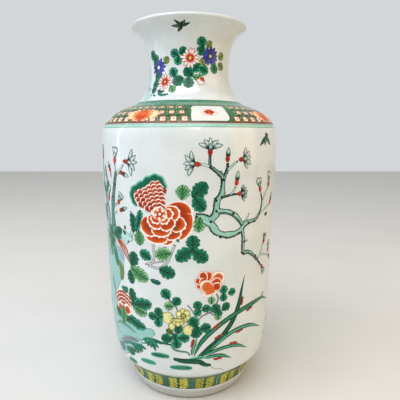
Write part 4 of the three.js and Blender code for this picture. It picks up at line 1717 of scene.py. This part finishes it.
BARE_SHOOT = ((0.0, 139.5), (3.0, 132), (5.2, 124), (5.5, 108))
GREEN_STEM = ((-12, 147), (-9.5, 142), (-7.0, 137), (-6.0, 131))


def paint_yellow_flower(group, place):
    """Three discs with olive marks, a crown of six petals with a heart, and a shell below it."""
    for across, up, radius, ways in YELLOW_DISCS:
        disc = shifted(place, across, up)
        dot(group, "yellow", disc, radius, 4)
        for way in ways:
            mark = shifted(shifted(disc, 0, 0, way), 0, 0.5 * radius)
            daub(group, "olive", mark, 0.4 * radius, 0.8, layer=8, steps=4, across=2)
    crown = shifted(place, 1.5, -0.8)
    for k in range(6):
        daub(group, "yellow", shifted(crown, 0, 0, 60 * k + 8), 9.2, 8.4, petal_shape,
             layer=5 + k % 2, across=6, dome=0.03)
    shell = shifted(place, -4.6, -5.8)
    for k, turn in enumerate((104, -104, 138, -138, 180)):
        daub(group, "yellow", shifted(shell, 0, 0, turn), 8.8, 7.0, petal_shape, layer=8 + k,
             dome=0.03)
    daub(group, "yellow", shifted(shell, 6.2, -0.6, 90), 12.4, 5.0, layer=15, dome=0.04)
    dot(group, "olive", crown, 3.5, 7, 1, 0.02)
    dot(group, "yellow", crown, 2.5, 8, 1, 0.04)
    dot(group, "ink", shifted(crown, 0.2, -0.2), 0.7, 10)


def paint_lower_flowers():
    """The small orange peony and the yellow flower, with their stems and round leaves."""
    group = "lower_flowers"
    for points in LOWER_STEMS:
        stem(group, points, 2.0, 1.6)
    stroke(group, "aubergine", up_wall(BARE_SHOOT), lambda t: 0.7 + 1.0 * t)
    stem(group, GREEN_STEM, 1.4, 1.2, "leaf_green")
    middle = spot(12.5, 162.5)
    for number, (across, up, turn, length, width, rim, pigment) in enumerate(LOWER_PEONY):
        daub(group, pigment, shifted(middle, across, up, turn), length, width, broad_leaf, 2, 0.06,
             layer=3 + number, steps=14, across=8, dome=0.02, rim=rim)
    for angle, height, radius, turn, pigment in LOWER_LEAVES:
        round_leaf(group, pigment, angle, height, radius, turn)
    paint_yellow_flower(group, spot(-3.5, 127.5))


print("lower flowers planned:", len(LOWER_LEAVES), "leaves")

# %% [markdown]
# Orchid grass is painted with one pull of the brush for each blade. Rows of red dabs stand for
# its florets, and short green dashes for the ground. A hair-fine crack in the glaze runs from the
# root down to the foot.

# %% Grass and ground
BLADES = (  # points, width in mm
    (((5, 72), (14, 85), (23, 99.5), (29.5, 116), (33, 132), (35, 150), (37.3, 168)), 6.4),
    (((3.5, 74), (8, 92), (17.5, 109), (30, 121.5), (45, 127.5), (57, 128), (69, 118)), 6.2),
    (((9.5, 74), (19.5, 90), (30, 100), (42, 101), (58, 88.5)), 5.4),
    (((10, 75), (20, 80.5), (32, 80.5), (43, 70.5)), 4.8),
    (((9.5, 71.5), (20, 72.5), (30, 64.5)), 4.6),
    (((2.3, 76), (3.5, 87), (5.8, 99)), 4.0),
    (((8.5, 74), (15, 84), (21, 94), (26, 101)), 5.6),
)
DARK_BLADES = (0, 6)  # the numbers of the two blades in dark green
DARK_ROOT = ((-9.5, 70.5), (-3, 68.3), (3, 67.8), (8, 66), (11, 62), (15, 60.5))
ROOT_TWIGS = (
    ((-11, 90), (-8.7, 83), (-4, 81), (-0.5, 80), (1.2, 76)), ((-19, 91), (-15, 89.5), (-11, 89)),
)
FLORETS = (  # angle, height, turn
    (35.6, 136, -8), (42.5, 122.5, -75), (17.8, 111.5, -50), (19.2, 97.5, -60),
    (34.8, 98.2, -80), (30.5, 84.6, -95), (2.6, 92, -12), (19.5, 68.2, -88),
)
GROUND_DASHES = (  # angle, height, length in mm
    (-18.7, 72.3, 25), (-28.3, 59.3, 23), (-4.8, 58.3, 28), (-44, 50.5, 18), (76, 66, 22),
    (92, 58, 26), (108, 67, 20), (-78, 46, 24),
)
GLAZE_CRACK = ((14.5, 60.5), (16.5, 56), (20, 53), (22.5, 52.5), (25, 48))


def paint_grass():
    """The clump of orchid grass with its florets, its root, and the dashes of the ground."""
    group = "orchid_grass"
    for number, (points, width) in enumerate(BLADES):
        pigment = "grass_dark" if number in DARK_BLADES else "grass"
        blade(group, points, width, pigment, 3 + number % 4)
    blade(group, ((56.5, 128), (58, 131.5), (59.5, 135)), 2.4)
    stroke(group, "grass_dark", up_wall(DARK_ROOT), lambda t: 3.3 * oval(0.06 + 0.9 * t), layer=8)
    light_root = up_wall([(0, 70), (5, 71.5), (11, 73)])
    stroke(group, "wash", light_root, lambda t: 2.6 * oval(0.1 + 0.8 * t), layer=4)
    for points in ROOT_TWIGS:
        stroke(group, "grass", up_wall(points), lambda t: 1.5 * (1 - 0.4 * t), layer=2)
    for angle, height, turn in FLORETS:
        red_dabs(group, angle, height, turn)
    for angle, height, length in GROUND_DASHES:
        place = spot(angle, height, 90 if angle > -10 else 92)
        daub(group, "wash", shifted(place, 0, -length / 2), length, 7.8, lambda t: oval(t) ** 0.7,
             bend=0.02, layer=2, steps=16, across=6)
    stroke(group, "hairline", up_wall(GLAZE_CRACK), lambda t: 0.28, layer=0, across=2)


print("grass planned:", len(BLADES), "long blades")

# %% [markdown]
# The photograph shows the front. Such vases carry their garden on round the wall, so the whole
# scene is painted once more behind, half a turn on, with other colours for some of its flowers.

# %% Paint both sides
BACK_SWAP = {"ray_blue": "ray_red", "ray_red": "ray_blue", "teal": "leaf_green"}
for turn, swap in ((0.0, {}), (180.0, BACK_SWAP)):
    side["turn"], side["swap"] = turn, swap
    for paint in (paint_neck, paint_rock, paint_left_magnolia, paint_right_magnolia, paint_peony,
                  paint_lower_flowers, paint_grass):
        paint()
side["turn"], side["swap"] = 0.0, {}
print(len(wet_paint), "kinds of paint laid")

# %% [markdown]
# Every group of strokes in one colour becomes a piece of its own, and rides on the vase.

# %% Fire the painting
total = 0
for (group, pigment), bm in sorted(wet_paint.items()):
    for face in bm.faces:
        face.smooth = True
    for edge in bm.edges:
        edge.smooth = len(edge.link_faces) == 2 and edge.calc_face_angle(0) < SHARP_TURN
    mesh = bpy.data.meshes.new(f"{group}_{pigment}")
    bm.to_mesh(mesh)
    bm.free()
    add_piece(mesh.name, mesh, "overglaze_enamel", ENAMELS[pigment])
    total += sum(len(p.vertices) - 2 for p in mesh.polygons)
print(len(wet_paint), "painted pieces,", total, "triangles")

# %% [markdown]
# The photograph was taken indoors, with cool daylight from the left and a warm lamp from the
# right. Upright soft boxes stand for the window, a narrow pane beside it and the lamp, and give
# the upright streaks that glaze shows. A wide one hangs over the front. The room's own light is
# cooler from the left, warmer from the right and dimmer from in front, but the eye, and the glaze
# as a mirror, see a plain pale surround on every side.

# %% Stage and light
TABLE_REACH = 3
TABLE_TONES = ("#e2dfda", "#d9d6d1")
LAMP_AIM = Vector((0, 0, 0.25))
SOFT_BOXES = (  # name, place, size across and up, power in watts, colour
    ("left_window", (-1.5, -0.25, 0.75), (0.9, 1.5), 3.3, "#cfe0ff"),
    ("left_pane", (-1.3, 0.13, 0.7), (0.1, 1.1), 0.9, "#f2f6ff"),
    ("ceiling", (-0.5, -1.1, 2.05), (2.7, 1.25), 44, "#f6f7fb"),
    ("right_lamp", (1.32, -0.42, 0.7), (0.9, 1.2), 4.6, "#ffd26a"),
)
PLAIN_TONE = "#d3d6d8"
ROOM_TONES = (  # place from left to right, colour
    (0.0, "#b6d0e2"), (0.3, "#ecf4ff"), (0.68, "#f2f1ec"), (1.0, "#947d50"),
)
ROOM_STRENGTH = 0.78
FRONT_SHARE = 0.56  # how much of the room's light is left straight in front
FRONT_END = 0.1  # how far back the front reaches, from -1 in front to 1 behind


def build_table():
    """A pale table that the vase stands on."""
    bm = bmesh.new()
    bmesh.ops.create_grid(bm, x_segments=1, y_segments=1, size=TABLE_REACH)
    mesh = bpy.data.meshes.new("table")
    bm.to_mesh(mesh)
    bm.free()
    table = bpy.data.objects.new("table", mesh)
    bpy.context.scene.collection.objects.link(table)
    material, shader = new_material("table_white", Roughness=0.65)
    cloth = blend(material, noise(material, 120), *TABLE_TONES)
    material.node_tree.links.new(cloth, shader.inputs["Base Color"])
    mesh.materials.append(material)


def add_soft_box(name, place, size, power, colour):
    """A rectangular lamp that is aimed at the middle of the vase."""
    light = bpy.data.lights.new(name, "AREA")
    light.shape = "RECTANGLE"
    light.size, light.size_y = size
    light.energy = power
    light.color = linear(colour)[:3]
    lamp = bpy.data.objects.new(name, light)
    lamp.location = place
    lamp.rotation_euler = (LAMP_AIM - Vector(place)).to_track_quat("-Z", "Y").to_euler()
    bpy.context.scene.collection.objects.link(lamp)


def room_colour(world):
    """The tone of the room by direction: from left to right, and dimmer in front."""
    look = add_node(world, "ShaderNodeTexCoord").outputs["Generated"]
    way = add_node(world, "ShaderNodeSeparateXYZ", {0: look}).outputs
    sweep = add_node(world, "ShaderNodeMapRange", {"Value": way["X"]}, {"From Min": -1.0})
    tint = add_node(world, "ShaderNodeValToRGB", {"Fac": sweep.outputs["Result"]})
    stops = tint.color_ramp.elements
    while len(stops) < len(ROOM_TONES):
        stops.new(0.5)
    for stop, (place, tone) in zip(stops, ROOM_TONES):
        stop.position, stop.color = place, linear(tone)
    depth = add_node(
        world, "ShaderNodeMapRange", {"Value": way["Y"]},
        {"From Min": -1.0, "From Max": FRONT_END, "To Min": FRONT_SHARE},
    )
    dimmed = add_node(
        world, "ShaderNodeVectorMath",
        {0: tint.outputs["Color"], "Scale": depth.outputs["Result"]}, operation="SCALE",
    )
    return dimmed.outputs[0]


def build_world():
    """The room's soft light, and the plain surround that the eye, mirrors and glass see."""
    world = bpy.data.worlds.new("studio")
    world.use_nodes = True
    bpy.context.scene.world = world
    nodes, links = world.node_tree.nodes, world.node_tree.links
    room = nodes["Background"]
    room.inputs["Strength"].default_value = ROOM_STRENGTH
    links.new(room_colour(world), room.inputs["Color"])
    plain = add_node(
        world, "ShaderNodeBackground", None, {"Color": linear(PLAIN_TONE), "Strength": 1.0}
    )
    rays = add_node(world, "ShaderNodeLightPath").outputs
    seen = rays["Is Camera Ray"]
    for kind in ("Is Glossy Ray", "Is Transmission Ray"):
        seen = sum_up(world, "MAXIMUM", seen, rays[kind])
    surround = add_node(
        world, "ShaderNodeMixShader", {0: seen, 1: room.outputs[0], 2: plain.outputs[0]}
    )
    links.new(surround.outputs[0], nodes["World Output"].inputs["Surface"])


build_table()
build_world()
for soft_box in SOFT_BOXES:
    add_soft_box(*soft_box)
print(len(SOFT_BOXES), "soft boxes")
